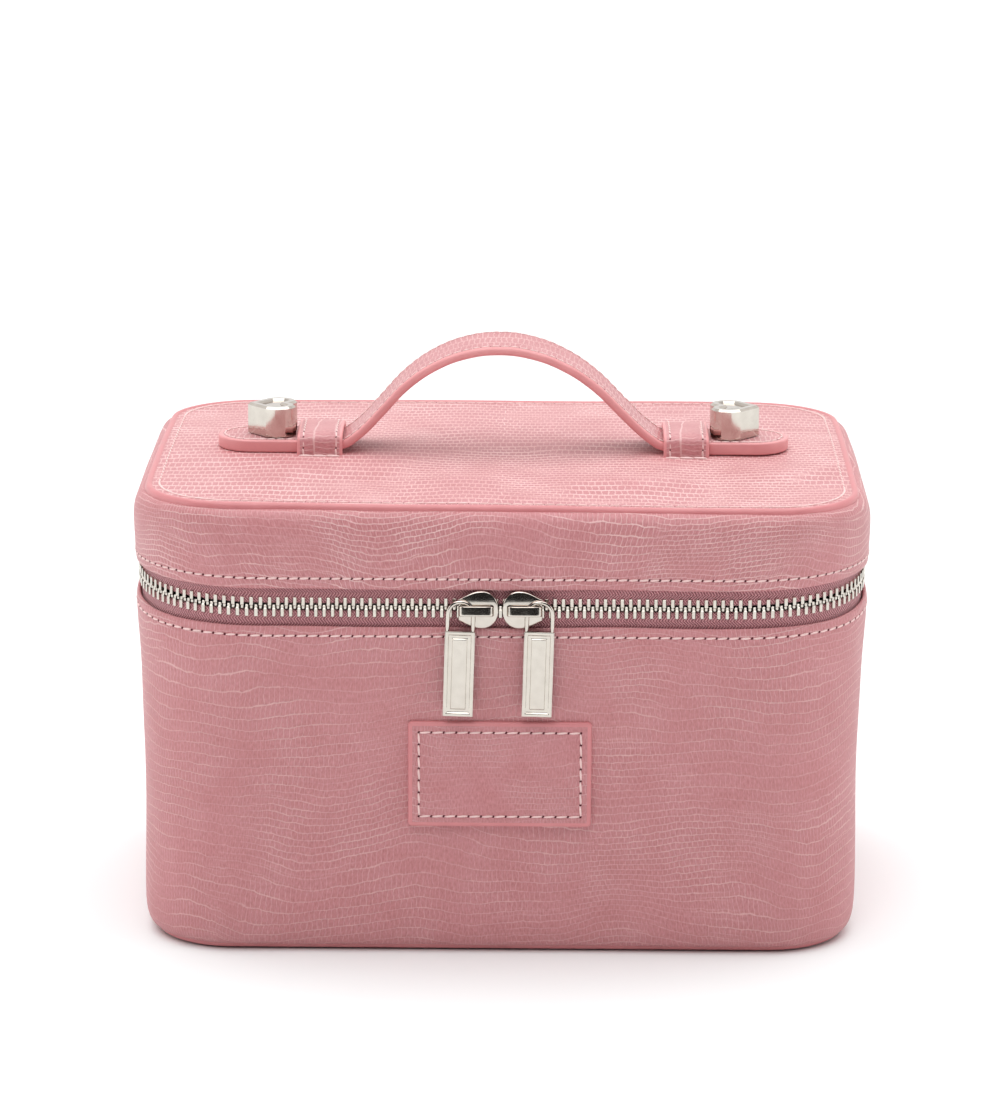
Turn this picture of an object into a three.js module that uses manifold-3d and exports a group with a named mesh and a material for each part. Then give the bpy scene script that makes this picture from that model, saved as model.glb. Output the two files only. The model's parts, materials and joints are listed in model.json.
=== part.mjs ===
// Makeup train case: a zipped box of padded leathercloth over board, with a hinged lid,
// a sliding strap handle on the lid and two zip sliders. Millimetres, +Z up, front face
// at -Y, origin at the centre of the base.
import * as THREE from 'three';
import { mergeVertices } from 'three/addons/utils/BufferGeometryUtils.js';
import Module from 'manifold-3d';

const wasm = await Module();
wasm.setup();

// ---- driving dimensions ----
const WIDTH = 230;
const DEPTH = 164;
const GAP = 0.3;
const CORNER_STEPS = 6;

const LEATHER = 1.6;
const BOARD = 2;
const BOARD_INSET = 4.6;
const LINING = 0.8;
const LINING_INSET = BOARD_INSET + BOARD + GAP;

const ZIP_Z = 112;
const ZIP_OPENING = 11.7;
const BODY_HEM_Z = ZIP_Z - ZIP_OPENING / 2;
const LID_HEM_Z = ZIP_Z + ZIP_OPENING / 2;
const CHAIN = 6;
const TAPE_INSET = 1.9;
const TAPE = 0.6;
const ROW_GAP = 1.2;
const HINGE_HALF = 60;
const HINGE_Y = DEPTH / 2 - 0.5;

const BASE_BOARD_Z = 3;
const BODY_BOARD_TOP = 104;
const LID_BOARD_BOTTOM = 120;
const LID_BOARD_TOP = 138.5;
const PANEL_TOP = 144.4;
const PANEL_BOTTOM = 141.1;

const BEAD = 1.75;
const LID_BEAD_INSET = 6;
const LID_BEAD_Z = 142.9;
const BASE_BEAD_INSET = 9;
const BASE_BEAD_Z = 2.1;

const STRAP_WIDTH = 23;
const STRAP = 3.9;
const STRAP_BOTTOM = PANEL_TOP + GAP;
const STRAP_TOP = STRAP_BOTTOM + STRAP;
const STRAP_CUT = 53;
const STRAP_REACH = 91.5;
const CROWN_Z = 178.1;

const KEEPER_X = 58.4;
const KEEPER_LENGTH = 14.6;
const KEEPER_LEATHER = 1.7;

const STUD_X = 74.2;
const STUD_LENGTH = 15.6;
const STUD_WIDTH = 17.5;
const STUD_HEIGHT = 9.8;
const SCREW_BORE = 2.2;

const SLIDER_X = 6.7;
const SLIDER_LENGTH = 12.3;
const SLIDER_HEIGHT = 11.8;
const PLATE = 1.3;
const FRONT_PLATE_Y = -DEPTH / 2 + 0.3;
const REAR_PLATE_Y = -DEPTH / 2 + 3.8;
const BRIDGE_REACH = 3.2;
const LEG = 1.5;
const LEG_X = SLIDER_LENGTH / 2 - LEG / 2;
const BRIDGE_LOW = -1.4;
const BRIDGE_HIGH = 1.8;
const WIRE = 0.6;
const WIRE_SPREAD = 3.9;
const WIRE_Y = FRONT_PLATE_Y - PLATE - 1.05;
const ARCH_TOP = 2.8;
const TAB_TOP = -6.4;
const TAB_WIDTH = 9.2;
const TAB_LENGTH = 26.9;
const TAB = 1.8;

const PATCH_WIDTH = 56.5;
const PATCH_HEIGHT = 33.4;
const PATCH_Z = 59.2;
const PATCH = 1.8;

const MIRROR_WIDTH = 150;
const MIRROR_DEPTH = 92;

// ---- materials ----
const finish = (color, roughness, metalness = 0) =>
  new THREE.MeshStandardMaterial({ color, roughness, metalness });
const leather = finish('#cf8f97', 0.55);
const paleLeather = finish('#e0a3aa', 0.5);
const paintedEdge = finish('#cf7f85', 0.45);
const board = finish('#8a7a68', 0.9);
const lining = finish('#c9bfc0', 0.9);
const tape = finish('#a45f6b', 0.85);
const nickel = finish('#d8d3cb', 0.15, 1);
const mirrorGlass = finish('#dfe6ea', 0.03, 1);

const makeupCase = new THREE.Group();

function add(name, geometry, material, x = 0, y = 0, z = 0) {
  const mesh = new THREE.Mesh(geometry, material);
  mesh.name = name;
  mesh.position.set(x, y, z);
  makeupCase.add(mesh);
  return mesh;
}

// ---- solids with a gap cut or a hole, by boolean ----
function toSolid(geometry) {
  const bare = geometry.clone();
  for (const key of Object.keys(bare.attributes)) {
    if (key !== 'position') bare.deleteAttribute(key);
  }
  const merged = mergeVertices(bare, 1e-4);
  return new wasm.Manifold(new wasm.Mesh({
    numProp: 3,
    vertProperties: new Float32Array(merged.attributes.position.array),
    triVerts: new Uint32Array(merged.index.array),
  }));
}

function toGeometry(solid) {
  const mesh = solid.getMesh();
  const geometry = new THREE.BufferGeometry();
  geometry.setAttribute('position', new THREE.BufferAttribute(mesh.vertProperties, 3));
  geometry.setIndex(new THREE.BufferAttribute(mesh.triVerts, 1));
  return geometry;
}

function box(x0, x1, y0, y1, z0, z1) {
  return new THREE.BoxGeometry(x1 - x0, y1 - y0, z1 - z0)
    .translate((x0 + x1) / 2, (y0 + y1) / 2, (z0 + z1) / 2);
}

function postAlongZ(radius, z0, z1, x = 0, y = 0) {
  return new THREE.CylinderGeometry(radius, radius, z1 - z0, 20)
    .rotateX(Math.PI / 2).translate(x, y, (z0 + z1) / 2);
}

// ---- walls that follow the case's rounded outline ----

// The corners are tight at the base and the lid's top board and round out at the soft zip line.
const CORNER_RADII = [[0, 31], [40, 36], [95, 41], [ZIP_Z, 44], [LID_HEM_Z, 43], [141, 32]];

function cornerRadius(z) {
  let [lowZ, lowRadius] = CORNER_RADII[0];
  for (const [highZ, highRadius] of CORNER_RADII) {
    if (z <= highZ) {
      const share = highZ > lowZ ? (z - lowZ) / (highZ - lowZ) : 0;
      return lowRadius + (highRadius - lowRadius) * share;
    }
    [lowZ, lowRadius] = [highZ, highRadius];
  }
  return lowRadius;
}

// Points round the case at one height, clockwise from above, starting behind its right side.
function outline(inset, z, rearStart = null) {
  const points = [];
  const radius = Math.max(cornerRadius(z) - inset, 2);
  const centreX = WIDTH / 2 - inset - radius;
  const centreY = DEPTH / 2 - inset - radius;
  if (rearStart !== null) points.push(new THREE.Vector3(rearStart, DEPTH / 2 - inset, z));
  for (const [signX, signY, startAngle] of [[1, 1, 90], [1, -1, 0], [-1, -1, -90], [-1, 1, -180]]) {
    for (let step = 0; step <= CORNER_STEPS; step += 1) {
      const angle = THREE.MathUtils.degToRad(startAngle - 90 * step / CORNER_STEPS);
      points.push(new THREE.Vector3(
        signX * centreX + radius * Math.cos(angle),
        signY * centreY + radius * Math.sin(angle),
        z,
      ));
    }
  }
  if (rearStart !== null) points.push(new THREE.Vector3(-rearStart, DEPTH / 2 - inset, z));
  return points;
}

// A closed body through loops of points. Each loop is one point of the section carried
// round; the section closes on itself unless capped, and the loop closes unless open.
function skin(loops, { sectionClosed = true, loopClosed = true } = {}) {
  const count = loops[0].length;
  const positions = loops.flat().flatMap((point) => [point.x, point.y, point.z]);
  const index = [];
  const rows = sectionClosed ? loops.length : loops.length - 1;
  const columns = loopClosed ? count : count - 1;
  const at = (row, column) => (row % loops.length) * count + (column % count);
  for (let row = 0; row < rows; row += 1) {
    for (let column = 0; column < columns; column += 1) {
      index.push(at(row, column), at(row + 1, column + 1), at(row, column + 1));
      index.push(at(row, column), at(row + 1, column), at(row + 1, column + 1));
    }
  }
  if (!sectionClosed) {
    for (const row of [0, loops.length - 1]) {
      const centre = positions.length / 3;
      positions.push(0, 0, loops[row][0].z);
      for (let column = 0; column < count; column += 1) {
        const pair = [at(row, column), at(row, column + 1)];
        if (row > 0) pair.reverse();
        index.push(centre, pair[0], pair[1]);
      }
    }
  }
  if (!loopClosed) {
    for (const column of [0, count - 1]) {
      for (let row = 1; row + 1 < loops.length; row += 1) {
        const face = [at(0, column), at(row, column), at(row + 1, column)];
        if (column === 0) face.reverse();
        index.push(...face);
      }
    }
  }
  const geometry = new THREE.BufferGeometry();
  geometry.setAttribute('position', new THREE.Float32BufferAttribute(positions, 3));
  geometry.setIndex(index);
  return geometry;
}

// section: [inset, z] pairs, listed up the outside and down the inside.
const wall = (section) => skin(section.map(([inset, z]) => outline(inset, z)));
const wallWithoutRear = (section) =>
  skin(section.map(([inset, z]) => outline(inset, z, HINGE_HALF + GAP)), { loopClosed: false });
const capped = (section) =>
  skin(section.map(([inset, z]) => outline(inset, z)), { sectionClosed: false });

function bead(inset, z, radius) {
  const section = [];
  for (let step = 0; step < 8; step += 1) {
    const angle = -Math.PI / 2 - 2 * Math.PI * step / 8;
    section.push([inset + radius * Math.cos(angle), z + radius * Math.sin(angle)]);
  }
  return wall(section);
}

// ---- base ----
add('base_leather_panel', capped([
  [BASE_BEAD_INSET + BEAD + GAP, 0],
  [BASE_BEAD_INSET + BEAD + GAP, BASE_BOARD_Z - GAP],
]), leather);
add('base_piping', bead(BASE_BEAD_INSET, BASE_BEAD_Z, BEAD), paintedEdge);
add('base_board', capped([
  [BASE_BEAD_INSET + BEAD + GAP, BASE_BOARD_Z],
  [BASE_BEAD_INSET + BEAD + GAP, BASE_BOARD_Z + BOARD],
]), board);

// ---- body walls ----
const BODY_OUTER = [
  [BASE_BEAD_INSET - BEAD - GAP, 1.2], [4.6, 2.8], [2.9, 6.5], [2.5, 14], [2.6, 50], [1.5, 91],
  [0.3, 98], [0, BODY_HEM_Z],
];
add('body_leather_wall', wall([
  ...BODY_OUTER,
  [LEATHER - 0.1, BODY_HEM_Z], [LEATHER - 0.1, 98.5], [2.9, 90.5], [4, 50], [4, 14], [4.3, 7.5],
  [5.4, 4.6], [BASE_BEAD_INSET - BEAD - GAP, 3],
]), leather);
add('body_board_wall', wall([
  [BOARD_INSET, 8], [BOARD_INSET, BODY_BOARD_TOP],
  [BOARD_INSET + BOARD, BODY_BOARD_TOP], [BOARD_INSET + BOARD, BASE_BOARD_Z + BOARD + GAP],
  [BOARD_INSET + 1.4, BASE_BOARD_Z + BOARD + GAP],
]), board);
const CUP_FLOOR = BASE_BOARD_Z + BOARD + GAP;
add('body_lining', capped([
  [LINING_INSET, CUP_FLOOR], [LINING_INSET, BODY_BOARD_TOP],
  [LINING_INSET + LINING, BODY_BOARD_TOP], [LINING_INSET + LINING, CUP_FLOOR + LINING],
]), lining);

// ---- stitched patch on the front ----
const patchShape = new THREE.Shape();
const patchCorner = 1.2;
const [patchX, patchZ] = [PATCH_WIDTH / 2, PATCH_HEIGHT / 2];
patchShape.moveTo(-patchX + patchCorner, -patchZ);
patchShape.lineTo(patchX - patchCorner, -patchZ);
patchShape.quadraticCurveTo(patchX, -patchZ, patchX, -patchZ + patchCorner);
patchShape.lineTo(patchX, patchZ - patchCorner);
patchShape.quadraticCurveTo(patchX, patchZ, patchX - patchCorner, patchZ);
patchShape.lineTo(-patchX + patchCorner, patchZ);
patchShape.quadraticCurveTo(-patchX, patchZ, -patchX, patchZ - patchCorner);
patchShape.lineTo(-patchX, -patchZ + patchCorner);
patchShape.quadraticCurveTo(-patchX, -patchZ, -patchX + patchCorner, -patchZ);
const patchBack = -DEPTH / 2 + 1.5;
add('front_patch', new THREE.ExtrudeGeometry(patchShape, {
  depth: PATCH, bevelEnabled: false, curveSegments: 3,
}).rotateX(Math.PI / 2), leather, 0, patchBack, PATCH_Z);

// ---- lid walls and top ----
const LID_OUTER = [
  [0.3, LID_HEM_Z], [0, 124], [0, 133], [0.5, 137], [1.7, 139.8], [3.9, 141.2],
];
add('lid_leather_wall', wall([
  ...LID_OUTER,
  [3.9, 139.6], [2.6, 138.6], [2.1, 136.5], [LEATHER, 133], [LEATHER, 124], [LEATHER, LID_HEM_Z],
]), leather);
add('lid_board_wall', wall([
  [BOARD_INSET, LID_BOARD_BOTTOM], [BOARD_INSET, LID_BOARD_TOP],
  [BOARD_INSET + BOARD, LID_BOARD_TOP], [BOARD_INSET + BOARD, LID_BOARD_BOTTOM],
]), board);
add('lid_top_board', capped([
  [BOARD_INSET, LID_BOARD_TOP + GAP], [BOARD_INSET, LID_BOARD_TOP + GAP + BOARD],
]), board);
const LID_CEILING = LID_BOARD_TOP - LINING;
const rimInset = LINING_INSET + LINING;
add('lid_lining', capped([
  [rimInset, LID_CEILING], [rimInset, LID_BOARD_BOTTOM],
  [LINING_INSET, LID_BOARD_BOTTOM], [LINING_INSET, LID_BOARD_TOP],
]), lining);
add('lid_piping', bead(LID_BEAD_INSET, LID_BEAD_Z, BEAD), paintedEdge);
add('lid_top_panel', capped([
  [LID_BEAD_INSET + BEAD + GAP, PANEL_BOTTOM], [LID_BEAD_INSET + BEAD + GAP, PANEL_TOP],
]), paleLeather);

// ---- mirror in the lid ----
function roundedPlate(width, depth, corner, thickness, hole = null) {
  const outlineOf = (halfX, halfY, radius, path) => {
    path.moveTo(-halfX + radius, -halfY);
    path.lineTo(halfX - radius, -halfY);
    path.absarc(halfX - radius, -halfY + radius, radius, -Math.PI / 2, 0);
    path.lineTo(halfX, halfY - radius);
    path.absarc(halfX - radius, halfY - radius, radius, 0, Math.PI / 2);
    path.lineTo(-halfX + radius, halfY);
    path.absarc(-halfX + radius, halfY - radius, radius, Math.PI / 2, Math.PI);
    path.lineTo(-halfX, -halfY + radius);
    path.absarc(-halfX + radius, -halfY + radius, radius, Math.PI, 1.5 * Math.PI);
    return path;
  };
  const shape = outlineOf(width / 2, depth / 2, corner, new THREE.Shape());
  if (hole) {
    shape.holes.push(outlineOf(hole.width / 2, hole.depth / 2, hole.corner, new THREE.Path()));
  }
  return new THREE.ExtrudeGeometry(shape, {
    depth: thickness, bevelEnabled: false, curveSegments: 5,
  });
}
add('lid_mirror', roundedPlate(MIRROR_WIDTH, MIRROR_DEPTH, 12, 2), mirrorGlass,
  0, 0, LID_CEILING - GAP - 2);
add('mirror_surround', roundedPlate(MIRROR_WIDTH + 18, MIRROR_DEPTH + 18, 20, 2.4, {
  width: MIRROR_WIDTH + 2 * GAP, depth: MIRROR_DEPTH + 2 * GAP, corner: 12,
}), leather, 0, 0, LID_CEILING - GAP - 2.4);

// ---- zip: tapes, tooth rows, end stops ----
const rowReach = CHAIN / 2;
const rowInner = ROW_GAP / 2;
const toothSection = (z0, z1) => [[0.9, z0], [0.9, z1], [3.3, z1], [3.3, z0]];
const tapeSection = (z0, z1) => [
  [TAPE_INSET, z0], [TAPE_INSET, z1], [TAPE_INSET + TAPE, z1], [TAPE_INSET + TAPE, z0],
];
add('zip_tape_lower', wallWithoutRear(
  tapeSection(BODY_HEM_Z - 7, ZIP_Z - rowReach - GAP)), tape);
add('zip_teeth_lower', wallWithoutRear(
  toothSection(ZIP_Z - rowReach, ZIP_Z - rowInner)), nickel);
add('zip_teeth_upper', wallWithoutRear(
  toothSection(ZIP_Z + rowInner, ZIP_Z + rowReach)), nickel);
add('zip_tape_upper', wallWithoutRear(
  tapeSection(ZIP_Z + rowReach + GAP, LID_HEM_Z + 6)), tape);
for (const [side, sign] of [['left', -1], ['right', 1]]) {
  const stopX = sign * (HINGE_HALF - 1.5);
  add(`zip_stop_${side}`, new THREE.BoxGeometry(2, 2.4, 2.4), nickel,
    stopX, DEPTH / 2 - 3.7, ZIP_Z - 2);
}

// ---- leather hinge strip across the rear ----
add('rear_hinge_strip', box(
  -HINGE_HALF, HINGE_HALF, HINGE_Y - 1.8, HINGE_Y - 0.4, BODY_HEM_Z + GAP, ZIP_Z + 5,
), leather);

// ---- keepers that hold the handle strap down ----
function keeperLoop() {
  const shape = new THREE.Shape();
  const inner = STRAP_WIDTH / 2 + GAP;
  const outer = inner + KEEPER_LEATHER;
  const roof = STRAP_TOP + GAP;
  shape.moveTo(-outer, STRAP_BOTTOM);
  shape.lineTo(-outer, roof);
  shape.quadraticCurveTo(-outer, roof + KEEPER_LEATHER, -outer + 2, roof + KEEPER_LEATHER);
  shape.lineTo(outer - 2, roof + KEEPER_LEATHER);
  shape.quadraticCurveTo(outer, roof + KEEPER_LEATHER, outer, roof);
  shape.lineTo(outer, STRAP_BOTTOM);
  shape.lineTo(inner, STRAP_BOTTOM);
  shape.lineTo(inner, roof);
  shape.lineTo(-inner, roof);
  shape.lineTo(-inner, STRAP_BOTTOM);
  return new THREE.ExtrudeGeometry(shape, {
    depth: KEEPER_LENGTH, bevelEnabled: false, curveSegments: 4,
  }).rotateX(Math.PI / 2).rotateZ(Math.PI / 2);
}
for (const [side, sign] of [['left', -1], ['right', 1]]) {
  add(`keeper_${side}`, keeperLoop(), paleLeather, sign * KEEPER_X - KEEPER_LENGTH / 2, 0, 0);
}

// ---- handle strap: a bell-shaped arch between the keepers ----
const halfArch = [
  [STRAP_CUT, STRAP_BOTTOM + STRAP / 2], [48.6, STRAP_BOTTOM + STRAP / 2 + 0.5],
  [44, 150.4], [38, 157.9], [30, 166.35], [20, 173.15], [10, 176.9], [0, CROWN_Z],
];
const archPoints = [
  ...halfArch.map(([x, z]) => new THREE.Vector3(-x, z, 0)),
  ...halfArch.slice(0, -1).reverse().map(([x, z]) => new THREE.Vector3(x, z, 0)),
];
const archLine = new THREE.CatmullRomCurve3(archPoints, false, 'centripetal').getPoints(44);
const archShape = new THREE.Shape();
const archNormal = (index) => {
  const before = archLine[Math.max(index - 1, 0)];
  const after = archLine[Math.min(index + 1, archLine.length - 1)];
  const along = new THREE.Vector2(after.x - before.x, after.y - before.y).normalize();
  if (index === 0 || index === archLine.length - 1) along.set(1, 0);
  return new THREE.Vector2(-along.y, along.x);
};
const archSide = (sign) => archLine.map((point, index) => {
  const normal = archNormal(index).multiplyScalar(sign * STRAP / 2);
  return new THREE.Vector2(point.x + normal.x, point.y + normal.y);
});
archShape.setFromPoints([...archSide(-1), ...archSide(1).reverse()]);
add('handle_strap', new THREE.ExtrudeGeometry(archShape, {
  depth: STRAP_WIDTH, bevelEnabled: false,
}).rotateX(Math.PI / 2), paleLeather, 0, STRAP_WIDTH / 2, 0);

// ---- strap ends with their studs, which slide out through the keepers ----
function strapEnd(sign) {
  const shape = new THREE.Shape();
  const half = STRAP_WIDTH / 2;
  const roundStart = STRAP_REACH - half;
  shape.moveTo(STRAP_CUT + GAP, -half);
  shape.lineTo(roundStart, -half);
  shape.absarc(roundStart, 0, half, -Math.PI / 2, Math.PI / 2);
  shape.lineTo(STRAP_CUT + GAP, half);
  const plate = new THREE.ExtrudeGeometry(shape, {
    depth: STRAP, bevelEnabled: false, curveSegments: 12,
  }).translate(0, 0, STRAP_BOTTOM);
  if (sign < 0) plate.rotateZ(Math.PI);
  const x = sign * STUD_X;
  return toGeometry(toSolid(plate)
    .subtract(toSolid(postAlongZ(SCREW_BORE, STRAP_BOTTOM - 1, STRAP_TOP + 1, x)))
    .subtract(toSolid(postAlongZ(4.5, STRAP_BOTTOM - 1, STRAP_BOTTOM + 1.6, x))));
}

// Heart outline with its point outward, cut in flats as the cast stud is.
function stud(sign) {
  const half = STUD_LENGTH / 2;
  const wide = STUD_WIDTH / 2;
  const flats = [
    [half, 0], [half - 1.2, 1.6], [half - 6.2, 7.4], [half - 9.2, wide], [half - 12.4, wide - 0.8],
    [-half + 0.9, 6.2], [-half, 3.6], [-half + 0.7, 1.4], [-half + 1.9, 0],
  ];
  const around = [...flats, ...flats.slice(1, -1).reverse().map(([x, y]) => [x, -y])];
  const shape = new THREE.Shape(around.map(([x, y]) => new THREE.Vector2(sign * x, y)));
  const chamfer = 0.7;
  const block = new THREE.ExtrudeGeometry(shape, {
    depth: STUD_HEIGHT - chamfer, bevelEnabled: true, bevelThickness: chamfer,
    bevelSize: chamfer, bevelOffset: -chamfer, bevelSegments: 1,
  });
  const bottom = STRAP_TOP + GAP;
  const placed = toSolid(block.translate(sign * STUD_X, 0, bottom))
    .subtract(toSolid(box(-200, 200, -50, 50, bottom - 5, bottom)))
    .subtract(toSolid(postAlongZ(SCREW_BORE, bottom - 1, bottom + 6, sign * STUD_X)));
  return toGeometry(placed);
}

function studScrew(x) {
  const head = STRAP_BOTTOM + 0.1;
  return toGeometry(toSolid(postAlongZ(4.1, head, head + 1.2, x))
    .add(toSolid(postAlongZ(SCREW_BORE - GAP, head + 1, STRAP_TOP + 5, x))));
}
for (const [side, sign] of [['left', -1], ['right', 1]]) {
  add(`strap_end_${side}`, strapEnd(sign), paleLeather);
  add(`stud_${side}`, stud(sign), nickel);
  add(`stud_screw_${side}`, studScrew(sign * STUD_X), nickel);
}

// ---- zip sliders, nose to nose at the middle of the front, and their pulls ----
function sliderPlate(y) {
  const [tail, nose] = [-SLIDER_LENGTH / 2, SLIDER_LENGTH / 2];
  const high = SLIDER_HEIGHT / 2;
  const shape = new THREE.Shape();
  shape.moveTo(tail, -3.4);
  shape.bezierCurveTo(tail + 1.6, -3.6, -3, -high, 1, -high);
  shape.bezierCurveTo(4.4, -high, nose, -3.2, nose, 0);
  shape.bezierCurveTo(nose, 3.2, 4.4, high, 1, high);
  shape.bezierCurveTo(-3, high, tail + 1.6, 3.6, tail, 3.4);
  return new THREE.ExtrudeGeometry(shape, {
    depth: PLATE, bevelEnabled: false, curveSegments: 5,
  }).rotateX(Math.PI / 2).translate(0, y, 0);
}

function slider() {
  const face = FRONT_PLATE_Y - PLATE;
  const tail = -SLIDER_LENGTH / 2;
  const bridgeEnd = 4.8;
  let body = toSolid(sliderPlate(FRONT_PLATE_Y)).add(toSolid(sliderPlate(REAR_PLATE_Y + PLATE)))
    .add(toSolid(box(0.5, 4.5, FRONT_PLATE_Y - 0.5, REAR_PLATE_Y + 0.5, -0.3, 0.3)));
  const bar = box(tail, bridgeEnd, face - BRIDGE_REACH, face - BRIDGE_REACH + 1.1,
    BRIDGE_LOW, BRIDGE_HIGH);
  body = body.add(toSolid(bar));
  for (const [x0, x1] of [[tail, tail + LEG], [bridgeEnd - LEG, bridgeEnd]]) {
    body = body.add(toSolid(box(x0, x1, face - BRIDGE_REACH + 0.5, face + 0.5,
      BRIDGE_LOW, BRIDGE_HIGH)));
  }
  return toGeometry(body);
}

function mirrorX(geometry) {
  const turned = geometry.index ? geometry.toNonIndexed() : geometry.clone();
  const position = turned.attributes.position;
  for (let corner = 0; corner < position.count; corner += 3) {
    for (let step = 0; step < 3; step += 1) {
      position.setX(corner + step, -position.getX(corner + step));
    }
    const [x, y, z] = [position.getX(corner), position.getY(corner), position.getZ(corner)];
    position.setXYZ(corner, position.getX(corner + 1), position.getY(corner + 1),
      position.getZ(corner + 1));
    position.setXYZ(corner + 1, x, y, z);
  }
  return turned;
}

function pullRing() {
  const archCentre = ARCH_TOP - WIRE_SPREAD;
  const foot = TAB_TOP + GAP;
  const points = [new THREE.Vector3(-WIRE_SPREAD, 0, foot)];
  for (let step = 0; step <= 10; step += 1) {
    const angle = Math.PI * (1 - step / 10);
    points.push(new THREE.Vector3(
      WIRE_SPREAD * Math.cos(angle), 0, archCentre + WIRE_SPREAD * Math.sin(angle)));
  }
  points.push(new THREE.Vector3(WIRE_SPREAD, 0, foot));
  const ring = points.map((point, step) => {
    const before = points[Math.max(step - 1, 0)];
    const after = points[Math.min(step + 1, points.length - 1)];
    const along = after.clone().sub(before).normalize();
    const out = new THREE.Vector3(along.z, 0, -along.x);
    return Array.from({ length: 8 }, (_, side) => {
      const angle = 2 * Math.PI * side / 8;
      return point.clone().addScaledVector(out, WIRE * Math.cos(angle))
        .add(new THREE.Vector3(0, WIRE * Math.sin(angle), 0));
    });
  });
  return tube(ring);
}

// A closed body through rings of points, with a flat cap on each end.
function tube(rings) {
  const count = rings[0].length;
  const positions = rings.flat().flatMap((point) => [point.x, point.y, point.z]);
  const index = [];
  for (let row = 0; row + 1 < rings.length; row += 1) {
    for (let side = 0; side < count; side += 1) {
      const [a, b] = [row * count + side, row * count + (side + 1) % count];
      index.push(a, b, b + count, a, b + count, a + count);
    }
  }
  for (let side = 1; side + 1 < count; side += 1) {
    const last = (rings.length - 1) * count;
    index.push(0, side + 1, side, last, last + side, last + side + 1);
  }
  const geometry = new THREE.BufferGeometry();
  geometry.setAttribute('position', new THREE.Float32BufferAttribute(positions, 3));
  geometry.setIndex(index);
  return geometry;
}

for (const [side, sign] of [['left', -1], ['right', 1]]) {
  const mirrored = (geometry) => (sign < 0 ? geometry : mirrorX(geometry));
  const pullX = sign * (SLIDER_X + LEG_X);
  add(`slider_${side}`, mirrored(slider()), nickel, sign * SLIDER_X, 0, ZIP_Z);
  add(`pull_ring_${side}`, mirrored(pullRing()), nickel, pullX, WIRE_Y, ZIP_Z);
  add(`pull_tab_${side}`, box(-TAB_WIDTH / 2, TAB_WIDTH / 2, -TAB / 2, TAB / 2,
    TAB_TOP - TAB_LENGTH, TAB_TOP), nickel, pullX, WIRE_Y, ZIP_Z);
}

export default makeupCase;
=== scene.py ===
import json
import math

import bpy
import numpy as np
from mathutils import Matrix, Vector, noise
from mathutils.bvhtree import BVHTree

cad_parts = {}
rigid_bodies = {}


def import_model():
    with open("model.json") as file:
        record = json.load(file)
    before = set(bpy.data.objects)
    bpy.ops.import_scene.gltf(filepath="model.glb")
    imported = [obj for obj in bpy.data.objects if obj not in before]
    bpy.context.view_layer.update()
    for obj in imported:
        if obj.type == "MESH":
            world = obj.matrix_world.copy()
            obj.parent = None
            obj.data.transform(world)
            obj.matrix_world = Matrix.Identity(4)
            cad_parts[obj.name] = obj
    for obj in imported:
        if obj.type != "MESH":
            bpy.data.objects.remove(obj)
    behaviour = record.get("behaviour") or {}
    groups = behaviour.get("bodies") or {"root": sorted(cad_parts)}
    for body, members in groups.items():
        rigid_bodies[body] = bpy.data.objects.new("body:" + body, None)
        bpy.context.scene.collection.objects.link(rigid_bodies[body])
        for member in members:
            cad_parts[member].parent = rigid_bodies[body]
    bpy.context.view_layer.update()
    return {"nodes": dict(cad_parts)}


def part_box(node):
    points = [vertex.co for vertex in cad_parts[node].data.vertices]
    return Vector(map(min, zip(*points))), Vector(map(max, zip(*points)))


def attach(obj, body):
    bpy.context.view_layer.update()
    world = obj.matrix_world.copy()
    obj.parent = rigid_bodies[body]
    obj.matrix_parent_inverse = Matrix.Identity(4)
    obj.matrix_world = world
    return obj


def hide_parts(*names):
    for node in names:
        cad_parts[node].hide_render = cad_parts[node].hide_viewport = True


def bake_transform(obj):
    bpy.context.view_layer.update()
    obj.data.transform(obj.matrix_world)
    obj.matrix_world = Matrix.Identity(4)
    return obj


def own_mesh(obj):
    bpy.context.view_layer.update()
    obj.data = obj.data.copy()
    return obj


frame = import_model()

# ==== Base: fibreboard, leathercloth panel and piping ====
# The base board is covered with a leathercloth panel, and a cord covered in painted
# leathercloth is sewn round its edge, where the rolled foot of the wall meets it.

MM = 0.001
lid_low, lid_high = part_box("lid_leather_wall")
WIDTH = lid_high.x - lid_low.x
DEPTH = lid_high.y - lid_low.y
LAID_RADIUS = 40 * MM
SIDE_X = WIDTH / 2 - LAID_RADIUS
SIDE_Y = DEPTH / 2 - LAID_RADIUS
QUARTER = math.pi / 2 * LAID_RADIUS
GIRTH = 4 * (SIDE_X + SIDE_Y + QUARTER)
# Corner radius in mm at each height in mm: tight over the boards, slack along the zip.
CORNER_HEIGHTS = (0, 40, 95, 112, 118, 141)
CORNER_RADII = (31, 36, 41, 44, 43, 32)
# The zip and the body's hem ride up along the sides, and the lid's padded top falls off to the
# rear and to the front, most at its front right corner. All in mm.
ZIP_LIFT = 3.2
LIFT_ENDS_AT = 72
LIFT_EASE = 50
LIFT_HEIGHTS = (95, 104, 114, 117.5)
REAR_SAG = 1.3
FRONT_SAG = 1.2
RIGHT_SAG = 0.6
SAG_REACH = 75
SAG_HEIGHTS = (128, 142)


def eased(share):
    """A share held between 0 and 1, with a soft start and a soft end."""
    share = min(max(share, 0), 1)
    return share * share * (3 - 2 * share)


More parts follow.
